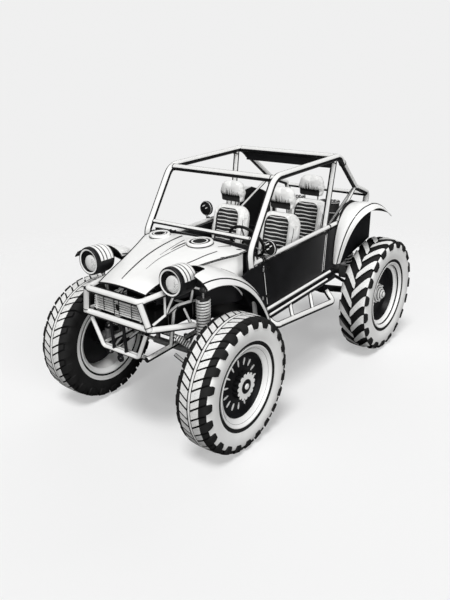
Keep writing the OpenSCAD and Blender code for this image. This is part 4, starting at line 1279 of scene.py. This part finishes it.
def make_steering_wheel():
    x, y = frame_for(COLUMN)
    b = Build(TRIM, STEEL, LINE)
    hoop = [HUB + 0.165 * (x * math.cos(t) + y * math.sin(t)) for t in spaced(97, 0, 2 * math.pi)][:-1]
    b.add(sweep(hoop, 0.0128, 16, closed=True), TRIM)
    for k in range(24):
        t = 2 * math.pi * k / 24
        p = HUB + 0.165 * (x * math.cos(t) + y * math.sin(t))
        w = -x * math.sin(t) + y * math.cos(t)
        b.add(ring(0.0118, 0.0130, -0.0012, 0.0012, p, w, 16), LINE)
    for a in (90, 210, 330):
        t = math.radians(a)
        way = np.array([1.0, 0, 0]) * math.cos(t) + unit(np.cross(COLUMN, (1.0, 0, 0))) * math.sin(t)
        b.add(rod(HUB + COLUMN * 0.014, HUB + way * 0.160, 0.0065, 16), STEEL)
    b.add(lathe([(0.000, AXIS_R), (0.000, 0.026), (0.003, 0.033), (0.010, 0.034), (0.030, 0.034),
                 (0.030, AXIS_R)],
                HUB, COLUMN, 48), TRIM)
    b.add(drum(0.0118, 0.028, 0.248, HUB, COLUMN, 24), STEEL)
    b.stand_in("steering_wheel", 30, "steering_wheel")


def helix(low, high, r, wire, turns, n=14, per_turn=28):
    low, high = np.asarray(low, float), np.asarray(high, float)
    way = unit(high - low)
    x, y = frame_for(way)
    length = np.linalg.norm(high - low)
    count = int(turns * per_turn)
    pts = []
    for k in range(count + 1):
        f = k / count
        # the end turns lie flat
        g = min(max((f * turns - 0.5) / (turns - 1.0), 0.0), 1.0)
        t = 2 * math.pi * turns * f
        pts.append(low + way * (wire + (length - 2 * wire) * g) + (x * math.cos(t) + y * math.sin(t)) * r)
    return sweep(pts, wire, n)


def make_coilovers():
    b = Build(SPRING, DARK_METAL, LINE, STEEL)
    for s in (1, -1):
        for low, high, r, turns in (((0.446, 0.0, 0.588), (0.446, 0.0, 1.205), 0.0495, 16.0),
                                    ((0.562, 2.290, 0.648), (0.440, 2.240, 1.290), 0.046, 13.0)):
            lo = np.array([s * low[0], low[1], low[2]])
            hi = np.array([s * high[0], high[1], high[2]])
            way, length = unit(hi - lo), np.linalg.norm(hi - lo)
            a, z = lo + way * 0.31 * length, hi - way * 0.064
            b.add(rod(lo, lo + way * 0.62 * length, 0.024, 24), DARK_METAL)
            b.add(rod(lo + way * 0.60 * length, hi, 0.0095, 16), STEEL)
            for p in (a, z):
                b.add(lathe([(-0.004, 0.010), (-0.004, r + 0.006), (0.000, r + 0.006), (0.002, r + 0.003),
                             (0.002, 0.010)], p, way if p is a else -way, 40), DARK_METAL)
            b.add(helix(a + way * 0.002, z - way * 0.002, r, 0.0078, turns), SPRING)
            b.add(rod(a, z, r - 0.010, 24), LINE)
            for p in (lo, hi):
                b.add(lathe([(-0.021, 0.008), (-0.021, 0.020), (-0.018, 0.0218), (0.018, 0.0218),
                             (0.021, 0.020),
                             (0.021, 0.008)], p, (1, 0, 0), 28), DARK_METAL)
                b.add(drum(0.0082, -0.022, 0.022, p, (1, 0, 0), 16),
                      STEEL)
    b.stand_in("coilovers", 40)


# ------------------------------------------------------------------ engine and drive


def make_engine():
    b = Build(DARK_METAL, METAL, TRIM, STEEL, WHITE)
    b.add(block((-0.130, 2.466, 0.562), (0.130, 2.844, 0.858), 0.012, 3), METAL)
    for y in (2.570, 2.740):
        for k in range(14):
            x = 0.134 + 0.0108 * k
            b.both(drum(0.061, 0.0, 0.0035, (x, y, 0.700),
                              (1, 0, 0), 36), METAL)
        b.both(drum(0.048, 0.0, 0.158, (0.130, y, 0.700),
                          (1, 0, 0), 28), METAL)
    b.both(block((0.288, 2.494, 0.627), (0.376, 2.820, 0.773), 0.014, 3), METAL)
    for k in range(5):
        y = 2.52 + 0.062 * k
        b.both(block((0.3745, y, 0.640), (0.3780, y + 0.030, 0.760), 0.0015, 1), TRIM)
    # ducts beside the fan housing
    b.both(block((0.120, 2.522, 0.948), (0.288, 2.668, 1.206), 0.020, 3), TRIM)
    # carburettor with a tall air filter
    b.both(block((0.178, 2.388, 1.178), (0.242, 2.522, 1.332), 0.008, 2), METAL)
    cup = [(0.000, AXIS_R), (0.000, 0.070), (0.006, 0.0745), (0.018, 0.0745), (0.022, 0.066)]
    for k in range(9):
        a = 0.024 + 0.0092 * k
        cup += [(a, 0.066), (a + 0.003, 0.070), (a + 0.006, 0.066)]
    cup += [(0.108, 0.066), (0.112, 0.0745), (0.124, 0.0745), (0.130, 0.068), (0.130, AXIS_R)]
    b.both(lathe(cup, (0.210, 2.420, 1.330), (0, 0, 1), 48), DARK_METAL)
    # the white rings round the air filter and the white dots on its lid are painted highlights
    for a in (0.016, 0.118):
        b.both(ring(0.070, 0.0755, a - 0.003, a + 0.003, (0.210, 2.420, 1.330), (0, 0, 1), 48), WHITE)
    for k in range(8):
        t = math.pi * (k + 0.5) / 4
        b.both(disc(0.0085, 0.004, (0.210 + 0.046 * math.cos(t), 2.420 + 0.046 * math.sin(t), 1.4590),
                         (0, 0, 1), 12), WHITE)
    b.both(drum(0.012, 0.0, 0.0065, (0.210, 2.420, 1.4595),
                      (0, 0, 1), 6), STEEL)
    b.both(plain_tube([(0.205, 2.46, 1.190), (0.205, 2.500, 1.08), (0.180, 2.560, 0.93),
                            (0.150, 2.600, 0.78)], 0.017, 0.05, 16), METAL)
    fan_case = [(0.000, AXIS_R), (0.000, 0.165), (0.004, 0.172), (0.010, 0.174), (0.140, 0.174),
                (0.146, 0.172),
            (0.150, 0.165), (0.150, 0.110), (0.146, 0.104), (0.120, 0.100), (0.120, AXIS_R)]
    b.add(lathe(fan_case, (0, 2.520, 1.240), (0, 1, 0), 72), TRIM)
    for k in range(18):
        t = 2 * math.pi * k / 18
        p = np.array([0.074 * math.cos(t), 2.650, 1.240 + 0.074 * math.sin(t)])
        q = np.array([0.098 * math.cos(t + 0.28), 2.650, 1.240 + 0.098 * math.sin(t + 0.28)])
        b.add(rod(p, q, 0.0032, 8), METAL)
    b.add(lathe([(0.0, AXIS_R), (0.0, 0.054), (0.100, 0.054), (0.112, 0.046), (0.128, 0.030),
                 (0.128, AXIS_R)],
                (0, 2.665, 1.240), (0, 1, 0), 48), METAL)
    groove = [(0.000, 0.020), (0.000, 0.054), (0.006, 0.053), (0.012, 0.046), (0.018, 0.053),
              (0.024, 0.054),
              (0.024, 0.020)]
    b.add(lathe(groove, (0, 2.770, 1.240), (0, 1, 0), 48), STEEL)
    crank = [(0.000, AXIS_R), (0.000, 0.084), (0.010, 0.084), (0.020, 0.074), (0.030, 0.084),
             (0.044, 0.084),
             (0.044, AXIS_R)]
    b.add(lathe(crank, (0, 2.840, 0.760), (0, 1, 0), 56), STEEL)
    b.add(block((-0.118, 2.542, 0.850), (0.118, 2.648, 0.948), 0.008, 2), METAL)
    b.add(block((-0.286, 2.524, 0.948), (0.286, 2.666, 1.120), 0.016, 3), TRIM)
    b.stand_in("engine", 35)

    b = Build(STEEL, DARK_METAL)
    shell_line = [(0.000, AXIS_R), (0.000, 0.040), (0.006, 0.052), (0.016, 0.0575), (0.644, 0.0575),
                  (0.654, 0.052),
                  (0.660, 0.040), (0.660, AXIS_R)]
    b.add(lathe(shell_line, (-0.330, 2.905, 0.598), (1, 0, 0), 56), STEEL)
    for x in (-0.24, 0.0, 0.24):
        b.add(ring(0.056, 0.0580, -0.010, 0.010, (x, 2.905, 0.598), (1, 0, 0),
                    48), DARK_METAL)
    for s in (1, -1):
        b.add(plain_tube([(s * 0.334, 2.780, 0.623), (s * 0.334, 2.780, 0.490), (s * 0.334, 2.904, 0.490),
                          (s * 0.312, 2.904, 0.560)], 0.0198, 0.040, 24), STEEL)
        b.add(ring(0.012, 0.034, 0.0, 0.008, (s * 0.334, 2.780, 0.612), (0, 0, 1),
                    24), DARK_METAL)
    b.stand_in("exhaust", 35)

    b = Build(METAL, DARK_METAL)
    case = [(0.000, AXIS_R), (0.000, 0.085), (0.006, 0.094), (0.320, 0.148), (0.330, 0.150), (0.331, 0.176),
            (0.336, 0.1775), (0.414, 0.1775), (0.420, 0.172), (0.420, AXIS_R)]
    b.add(lathe(case, (0, 2.045, 0.690), (0, 1, 0), 72), METAL)
    for k in range(10):
        t = 2 * math.pi * (k + 0.5) / 10
        r0, r1 = 0.094, 0.147
        p = np.array([math.cos(t) * r0, 2.060, 0.690 + math.sin(t) * r0])
        q = np.array([math.cos(t) * r1, 2.370, 0.690 + math.sin(t) * r1])
        b.add(rod(p, q, 0.0055, 8), METAL)
    b.stand_in("gearbox", 35)


def make_tank():
    b = Build(TRIM, STEEL)
    b.add(block((-0.184, -0.249, 0.861), (0.184, 0.309, 1.049), 0.022, 4), TRIM)
    for y in (-0.12, 0.17):
        b.add(block((-0.1846, y, 0.8606), (0.1846, y + 0.030, 1.0496), 0.020, 3), STEEL)
    b.stand_in("fuel_tank", 35)


for side in (1, -1):
    make_door(side)
make_quarters()
make_visor()
make_dash()
make_mirrors()
make_steering_wheel()
make_coilovers()
make_engine()
make_tank()

for name, mat in (("floor_tub", BLACK), ("cowl", BLACK), ("rear_arms", BLACK), ("steering_gear", METAL),
                  ("steering_rack", STEEL),
                  ("knuckle_left", METAL), ("knuckle_right", METAL)):
    paint(name, mat)

# ------------------------------------------------------------------ seats

PITCH = 0.0345


def soft_block(lo, hi, bevel, turn=None, outline=None):
    """A remeshed rounded slab, ready for the cloth simulation; outline is its shape seen from the front."""
    if outline:
        verts, faces = prism(outline, lambda a, c, h: turn((a, lo + h, c)), hi - lo, bevel, 4)
    else:
        verts, faces = block(lo, hi, bevel, 4, turn)
    mesh = bpy.data.meshes.new("pad")
    mesh.from_pydata([list(v) for v in verts], [], faces)
    obj = bpy.data.objects.new("pad", mesh)
    scene.collection.objects.link(obj)
    mod = obj.modifiers.new("remesh", "REMESH")
    mod.mode = "VOXEL"
    mod.voxel_size = 0.006
    return obj


def apply_all(obj):
    deps = bpy.context.evaluated_depsgraph_get()
    mesh = bpy.data.meshes.new_from_object(obj.evaluated_get(deps))
    obj.modifiers.clear()
    obj.data = mesh
    return obj


def inflate(obj, pressure, hold):
    """Blows a pad up a little as cloth; hold(x, y, z) is how firmly a vertex stays put."""
    apply_all(obj)
    group = obj.vertex_groups.new(name="held")
    for v in obj.data.vertices:
        w = hold(*v.co)
        if w > 0:
            group.add([v.index], w, "REPLACE")
    mod = obj.modifiers.new("cloth", "CLOTH")
    s = mod.settings
    s.quality = 5
    s.mass = 0.3
    s.tension_stiffness = 22
    s.compression_stiffness = 22
    s.shear_stiffness = 12
    s.bending_stiffness = 0.8
    s.use_pressure = True
    s.uniform_pressure_force = pressure
    s.effector_weights.gravity = 0.0
    s.vertex_group_mass = "held"
    mod.collision_settings.use_collision = False
    mod.point_cache.frame_start = 1
    mod.point_cache.frame_end = 20
    before = np.array([v.co for v in obj.data.vertices])
    for frame_no in range(1, 21):
        scene.frame_set(frame_no)
    apply_all(obj)
    scene.frame_set(1)
    after = np.array([v.co for v in obj.data.vertices])
    # no point moves further than a cushion's cover could
    step = np.linalg.norm(after - before, axis=1, keepdims=True)
    after = before + (after - before) * np.minimum(1.0, 0.016 / np.maximum(step, 1e-9))
    obj.data.vertices.foreach_set("co", after.ravel())
    obj.data.update()
    return obj


def inside(v, lo, hi, soft):
    return min(1.0, max(0.0, (v - lo) / soft)) * min(1.0, max(0.0, (hi - v) / soft))


def arch_half(v, half, hi, bend):
    """Half width at v of an outline whose two upper corners are rounded."""
    over = min(bend, max(0.0, v - (hi - bend)))
    return half - bend + math.sqrt(max(0.0, bend * bend - over * over)) if bend else half


def finish_pad(obj, front, across, along, half, lo, hi, pitch, mats, upright=False, bend=0.0):
    """Sinks the pleated insert into a pad's front and gives its faces their cloth; returns a tree of it."""
    mesh = obj.data
    count = len(mesh.vertices)
    co = np.zeros(count * 3)
    mesh.vertices.foreach_get("co", co)
    co = co.reshape(-1, 3)
    no = np.zeros(count * 3)
    mesh.vertices.foreach_get("normal", no)
    no = no.reshape(-1, 3)
    facing = np.clip((no @ front - 0.35) / 0.3, 0, 1)
    u, v = co @ across, co @ along
    wide = np.array([arch_half(c, half, hi, bend) for c in v])
    mask = [inside(a, -w, w, 0.010) * inside(c, lo, hi, 0.010) for a, c, w in zip(u, v, wide)]
    mask = np.array(mask) * facing
    phase = (u if upright else v - lo) / pitch
    rib = np.abs(np.sin(np.pi * phase)) ** 0.55
    co = co - front * (mask * (0.011 - 0.008 * rib))[:, None]
    mesh.vertices.foreach_set("co", co.ravel())
    for mat in mats:
        mesh.materials.append(mat)
    index = []
    for poly in mesh.polygons:
        c = np.array(poly.center)
        n = np.array(poly.normal)
        a, d = c @ across, c @ along
        index.append(1 if n @ front > 0.25 and abs(a) < arch_half(d, half, hi, bend) - 0.002
                     and lo + 0.002 < d < hi - 0.002 else 0)
    mesh.polygons.foreach_set("material_index", index)
    mesh.polygons.foreach_set("use_smooth", [True] * len(mesh.polygons))
    mesh.update()
    return BVHTree.FromPolygons([v.co for v in mesh.vertices], [list(p.vertices) for p in mesh.polygons])


def lay(tree, points, front, lift):
    """Points moved onto a pad along its front direction."""
    out = []
    for p in points:
        start = Vector((np.asarray(p) + front * 0.3).tolist())
        hit, _, _, _ = tree.ray_cast(start, Vector((-front).tolist()))
        if hit is not None:
            out.append(np.array(hit) + front * lift)
    return out


BACK_FOOT = np.array([0, 0.405, 0.150])
BACK_UP = np.array([0, 0.199, 0.980])
BACK_FRONT = np.array([0, -0.980, 0.199])
SEAT_TOP = unit([0, 0.09, 1.0])
SEAT_ALONG = unit([0, 1.0, -0.09])
RIGHT = np.array([1.0, 0, 0])


def tapered(line, radius):
    """A thin tapered tube along a line, for the pale pleat lines of painted highlight and the dark headrest
    strokes of painted shade; its radius is a function of the way along it, from 0 to 1.
    """
    last = len(line) - 1
    return sweep(line, [radius(i / last) for i in range(last + 1)], 8)


def swell(obj, front, across, start, end, amount):
    """Raises the bolsters beside the insert."""
    for v in obj.data.vertices:
        k = inside(abs(float(np.array(v.co) @ across)), start, end, 0.020)
        f = max(0.0, min(1.0, float(np.array(v.normal) @ front) * 1.4))
        v.co = v.co + Vector((front * amount * k * f).tolist())
    obj.data.update()
    return obj


def make_pads():
    """The three soft shapes of a seat, in its own coordinates, with the piping, the pale pleat lines of
    painted highlight and the dark headrest strokes of painted shade laid on them.
    """
    extra = []
    cushion = soft_block((-0.200, 0.014, 0.050), (0.200, 0.420, 0.140), 0.022,
                         lambda v: np.array([v[0], v[1], v[2] - 0.09 * v[1]]))
    inflate(cushion, 4.0, lambda x, y, z: 1.0 if z + 0.09 * y < 0.075 else 0.0)
    swell(cushion, SEAT_TOP, RIGHT, 0.120, 0.205, 0.010)
    lo, hi = 0.045, 0.385
    tree = finish_pad(cushion, SEAT_TOP, RIGHT, SEAT_ALONG, 0.128, lo, hi, PITCH, (BOLSTER, PLEAT))
    # pale lines across the cushion's pleats: painted highlights
    k = 1
    while lo + k * PITCH < hi - 0.008:
        y = lo + k * PITCH
        line = lay(tree, [np.array([x, y, 0.12]) for x in spaced(24, -0.120, 0.120)], SEAT_TOP, 0.0006)
        extra.append((tapered(line, lambda f: 0.0012 + 0.0020 * math.sin(math.pi * f) ** 0.5), PIPING_AND_HIGHLIGHT))
        k += 1

    def lean(v):
        return np.array([v[0], 0.405 + 0.980 * v[1] + 0.199 * v[2], 0.150 - 0.199 * v[1] + 0.980 * v[2]])

    sides = [(-0.196, -0.050), (-0.200, 0.200), (-0.188, 0.433), (0.188, 0.433), (0.200, 0.200),
             (0.196, -0.050)]
    back = soft_block(0.006, 0.080, 0.030, lean, list(reversed(fillet2(sides, 0.105))))
    inflate(back, 4.0, lambda *p: 1.0 if (np.array(p) - BACK_FOOT) @ -BACK_FRONT > 0.055 else 0.0)
    swell(back, BACK_FRONT, RIGHT, 0.118, 0.172, 0.012)
    foot = float(BACK_FOOT @ BACK_UP)
    lo, hi, bend = foot - 0.030, foot + 0.402, 0.075
    tree = finish_pad(back, BACK_FRONT, RIGHT, BACK_UP, 0.128, lo, hi, PITCH, (BOLSTER, PLEAT), bend=bend)

    def on_back(x, v):
        return lean((x, 0.0, v - foot))

    # pale lines across the back's pleats: painted highlights
    k = 1
    while lo + k * PITCH < hi - 0.010:
        v = lo + k * PITCH
        reach = arch_half(v, 0.128, hi, bend) - 0.012
        pts = [on_back(x, v + 0.0020 * math.sin(x * 46 + k)) for x in spaced(32, -reach, reach)]
        line = lay(tree, pts, BACK_FRONT, 0.0008)
        extra.append((tapered(line, lambda f: 0.0026 + 0.0030 * math.sin(math.pi * (0.15 + 0.85 * f)) ** 0.6),
                      PIPING_AND_HIGHLIGHT))
        k += 1
    border = fillet2([(-0.129, lo + 0.010), (-0.129, hi), (0.129, hi), (0.129, lo + 0.010)], bend)
    dense = []
    for (a, c), (d, e) in zip(border, border[1:]):
        steps = max(1, int(math.hypot(d - a, e - c) / 0.008))
        dense += [(a + (d - a) * i / steps, c + (e - c) * i / steps) for i in range(steps)]
    dense.append(border[-1])
    extra.append((sweep(lay(tree, [on_back(a, c) for a, c in dense], BACK_FRONT, 0.001), 0.0030, 8),
                  PIPING_AND_HIGHLIGHT))
    for s in (1, -1):
        seam = lay(tree, [on_back(s * 0.170, v) for v in spaced(40, lo - 0.004, hi - 0.090)], BACK_FRONT,
                   0.0004)
        extra.append((sweep(seam, 0.0026, 8), LINE))

    pillow = [(-0.112, 0.600), (-0.124, 0.690), (-0.098, 0.788), (0.098, 0.788), (0.124, 0.690),
              (0.112, 0.600)]
    head = soft_block(0.504, 0.586, 0.030, lambda v: np.array(v), list(reversed(fillet2(pillow, 0.060))))
    inflate(head, 3.0, lambda x, y, z: 1.0 if z < 0.605 else 0.0)
    front = np.array([0, -1.0, 0])
    # the black cloth over the headrest's lower part is painted shade
    tree = finish_pad(head, front, RIGHT, np.array([0, 0, 1.0]), 0.104, 0.590, 0.668, 0.012,
                      (BOLSTER, PLEAT), True)
    # dark tapered strokes rising from it, longer on the left: painted shade
    for k in range(24):
        x = -0.100 + 0.0086 * k
        reach = 0.668 + rng.uniform(0.012, 0.066) * (1.0 if x < 0.03 else 0.6)
        lean_x = rng.uniform(-0.008, 0.003)
        pts = [np.array([x + lean_x * i / 11, 0.5, 0.650 + (reach - 0.650) * i / 11]) for i in range(12)]
        line = lay(tree, pts, front, 0.0002)
        if len(line) > 4:
            extra.append((tapered(line, lambda f: 0.0034 * (1 - f) ** 0.7 + 0.0004), LINE))
    return (("cushion", cushion), ("back", back), ("headrest", head)), extra


def moved(part, offset):
    return ([np.asarray(v) + offset for v in part[0]], *part[1:])


def make_seats():
    pads, extra = make_pads()
    for end, sides, y, z in (("front", (1, -1), 0.795, 0.970), ("rear", (1,), 1.305, 1.010)):
        for side in sides:
            label = f"seat_{end}_{SIDE_NAMES[side]}"
            spot = np.array([side * 0.275, y, z])
            b = Build(BLACK, PIPING_AND_HIGHLIGHT, LINE, STEEL, TRIM)
            for part, mat in extra:
                b.add(moved(part, spot), mat)
            for s in (1, -1):
                b.add(rod(spot + [s * 0.070, 0.546, 0.560], spot + [s * 0.070, 0.546, 0.640], 0.0068, 14),
                      STEEL)
            # hard back shell and the pan under the cushion
            shell_back = fillet2([(-0.188, -0.030), (-0.194, 0.220), (-0.182, 0.424), (0.182, 0.424),
                                  (0.194, 0.220),
                                  (0.188, -0.030)], 0.100)
            b.add(moved(prism(shell_back, lambda a, h, w: (a, 0.405 + 0.980 * (0.074 + w) + 0.199 * h,
                                                           0.150 - 0.199 * (0.074 + w) + 0.980 * h),
                                                           0.0095, 0.003),
                        spot), TRIM)
            b.add(moved(block((-0.190, 0.022, 0.040), (0.190, 0.415, 0.058), 0.005, 2,
                              lambda v: np.array([v[0], v[1], v[2] - 0.09 * v[1]])), spot), TRIM)
            b.add(moved(block((-0.150, 0.395, 0.020), (0.150, 0.470, 0.100), 0.006, 2), spot), TRIM)
            start = (y - 0.600) / math.cos(RAKE)
            for dx in (-0.165, 0.141):
                b.add(block((side * 0.275 + dx, start, -0.0380),
                            (side * 0.275 + dx + 0.024, start + 0.340, 0.085), 0.003,
                            2, lambda v: raked(*v)), BLACK)
                b.add(block((side * 0.275 + dx - 0.004, start, -0.0385),
                            (side * 0.275 + dx + 0.028, start + 0.340, -0.028),
                            0.002, 2, lambda v: raked(*v)), STEEL)
            b.done(label + "_frame", "chassis", 35, replaces=(label,))
            for part, pad in pads:
                obj = bpy.data.objects.new(f"{label}_{part}", pad.data.copy())
                scene.collection.objects.link(obj)
                obj.location = (spot[0], spot[1] + AXLE_Y, spot[2])
                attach(obj, "chassis")
    for _, pad in pads:
        bpy.data.objects.remove(pad)


make_seats()

# ------------------------------------------------------------------ camera, light and floor


def look(obj, way):
    obj.rotation_euler = Vector(way).to_track_quat("-Z", "Y").to_euler()


camera = bpy.data.objects.new("camera", bpy.data.cameras.new("camera"))
scene.collection.objects.link(camera)
camera.location = (3.245, -4.628, 2.757)
camera.rotation_euler = (math.radians(69.709), 0, math.radians(37.289))
camera.data.lens = 37.84
camera.data.sensor_width = 36
scene.camera = camera

for name, kind, energy, angle, way in (("key", "SUN", 2.55, 20, (-0.16, 0.42, -0.89)),
                                       ("side", "SUN", 1.75, 40, (-0.92, 0.30, -0.26)),
                                       ("front", "SUN", 0.80, 50, (-0.10, 0.97, -0.22)),
                                       ("back", "SUN", 0.75, 70, (0.40, -0.86, -0.32))):
    lamp = bpy.data.objects.new(name, bpy.data.lights.new(name, kind))
    scene.collection.objects.link(lamp)
    lamp.data.energy = energy
    lamp.data.angle = math.radians(angle)
    look(lamp, way)


def shader_mix(tree, factor, first, second):
    """The output of a shader that goes from the first to the second."""
    made = node(tree, "MixShader")
    for k, value in enumerate((factor, first, second)):
        tree.links.new(value, made.inputs[k])
    return made.outputs["Shader"]


world = bpy.data.worlds.new("world")
scene.world = world
world.use_nodes = True
sky = world.node_tree
sky.nodes.clear()
dim = node(sky, "Background", Color=(*grey(0.05), 1))
backdrop = node(sky, "Background", Color=(*grey(0.87), 1))
camera_ray = node(sky, "LightPath").outputs["Is Camera Ray"]
both_skies = shader_mix(sky, camera_ray, dim.outputs["Background"], backdrop.outputs["Background"])
sky.links.new(both_skies, node(sky, "OutputWorld").inputs["Surface"])


def floor_material():
    """Pale to the camera with a light shadow, darker to the light that bounces, and fading out far away."""
    mat = bpy.data.materials.new("floor")
    mat.use_nodes = True
    tree = mat.node_tree
    tree.nodes.clear()
    link = tree.links.new
    shade = node(tree, "BsdfDiffuse", Color=(*grey(0.52), 1))
    glow = node(tree, "Emission", Color=(*grey(0.37), 1))
    seen = node(tree, "AddShader")
    link(shade.outputs["BSDF"], seen.inputs[0])
    link(glow.outputs["Emission"], seen.inputs[1])
    bounce = node(tree, "BsdfDiffuse", Color=(*grey(0.06), 1))
    ray = node(tree, "LightPath").outputs["Is Camera Ray"]
    near = shader_mix(tree, ray, bounce.outputs["BSDF"], seen.outputs["Shader"])
    far = node(tree, "VectorMath")
    far.operation = "LENGTH"
    link(node(tree, "TexCoord").outputs["Object"], far.inputs[0])
    fade = node(tree, "MapRange", From_Min=3.5, From_Max=6.5)
    link(far.outputs["Value"], fade.inputs["Value"])
    clear = node(tree, "BsdfTransparent")
    whole = shader_mix(tree, fade.outputs["Result"], near, clear.outputs["BSDF"])
    link(whole, node(tree, "OutputMaterial").inputs["Surface"])
    return mat


ground = bpy.data.meshes.new("ground")
ground.from_pydata([(-30, -30, 0), (30, -30, 0), (30, 30, 0), (-30, 30, 0)], [], [(0, 1, 2, 3)])
ground.materials.append(floor_material())
floor = bpy.data.objects.new("floor", ground)
scene.collection.objects.link(floor)
floor.location = (0, 0, -0.001)

scene.view_settings.view_transform = "Standard"
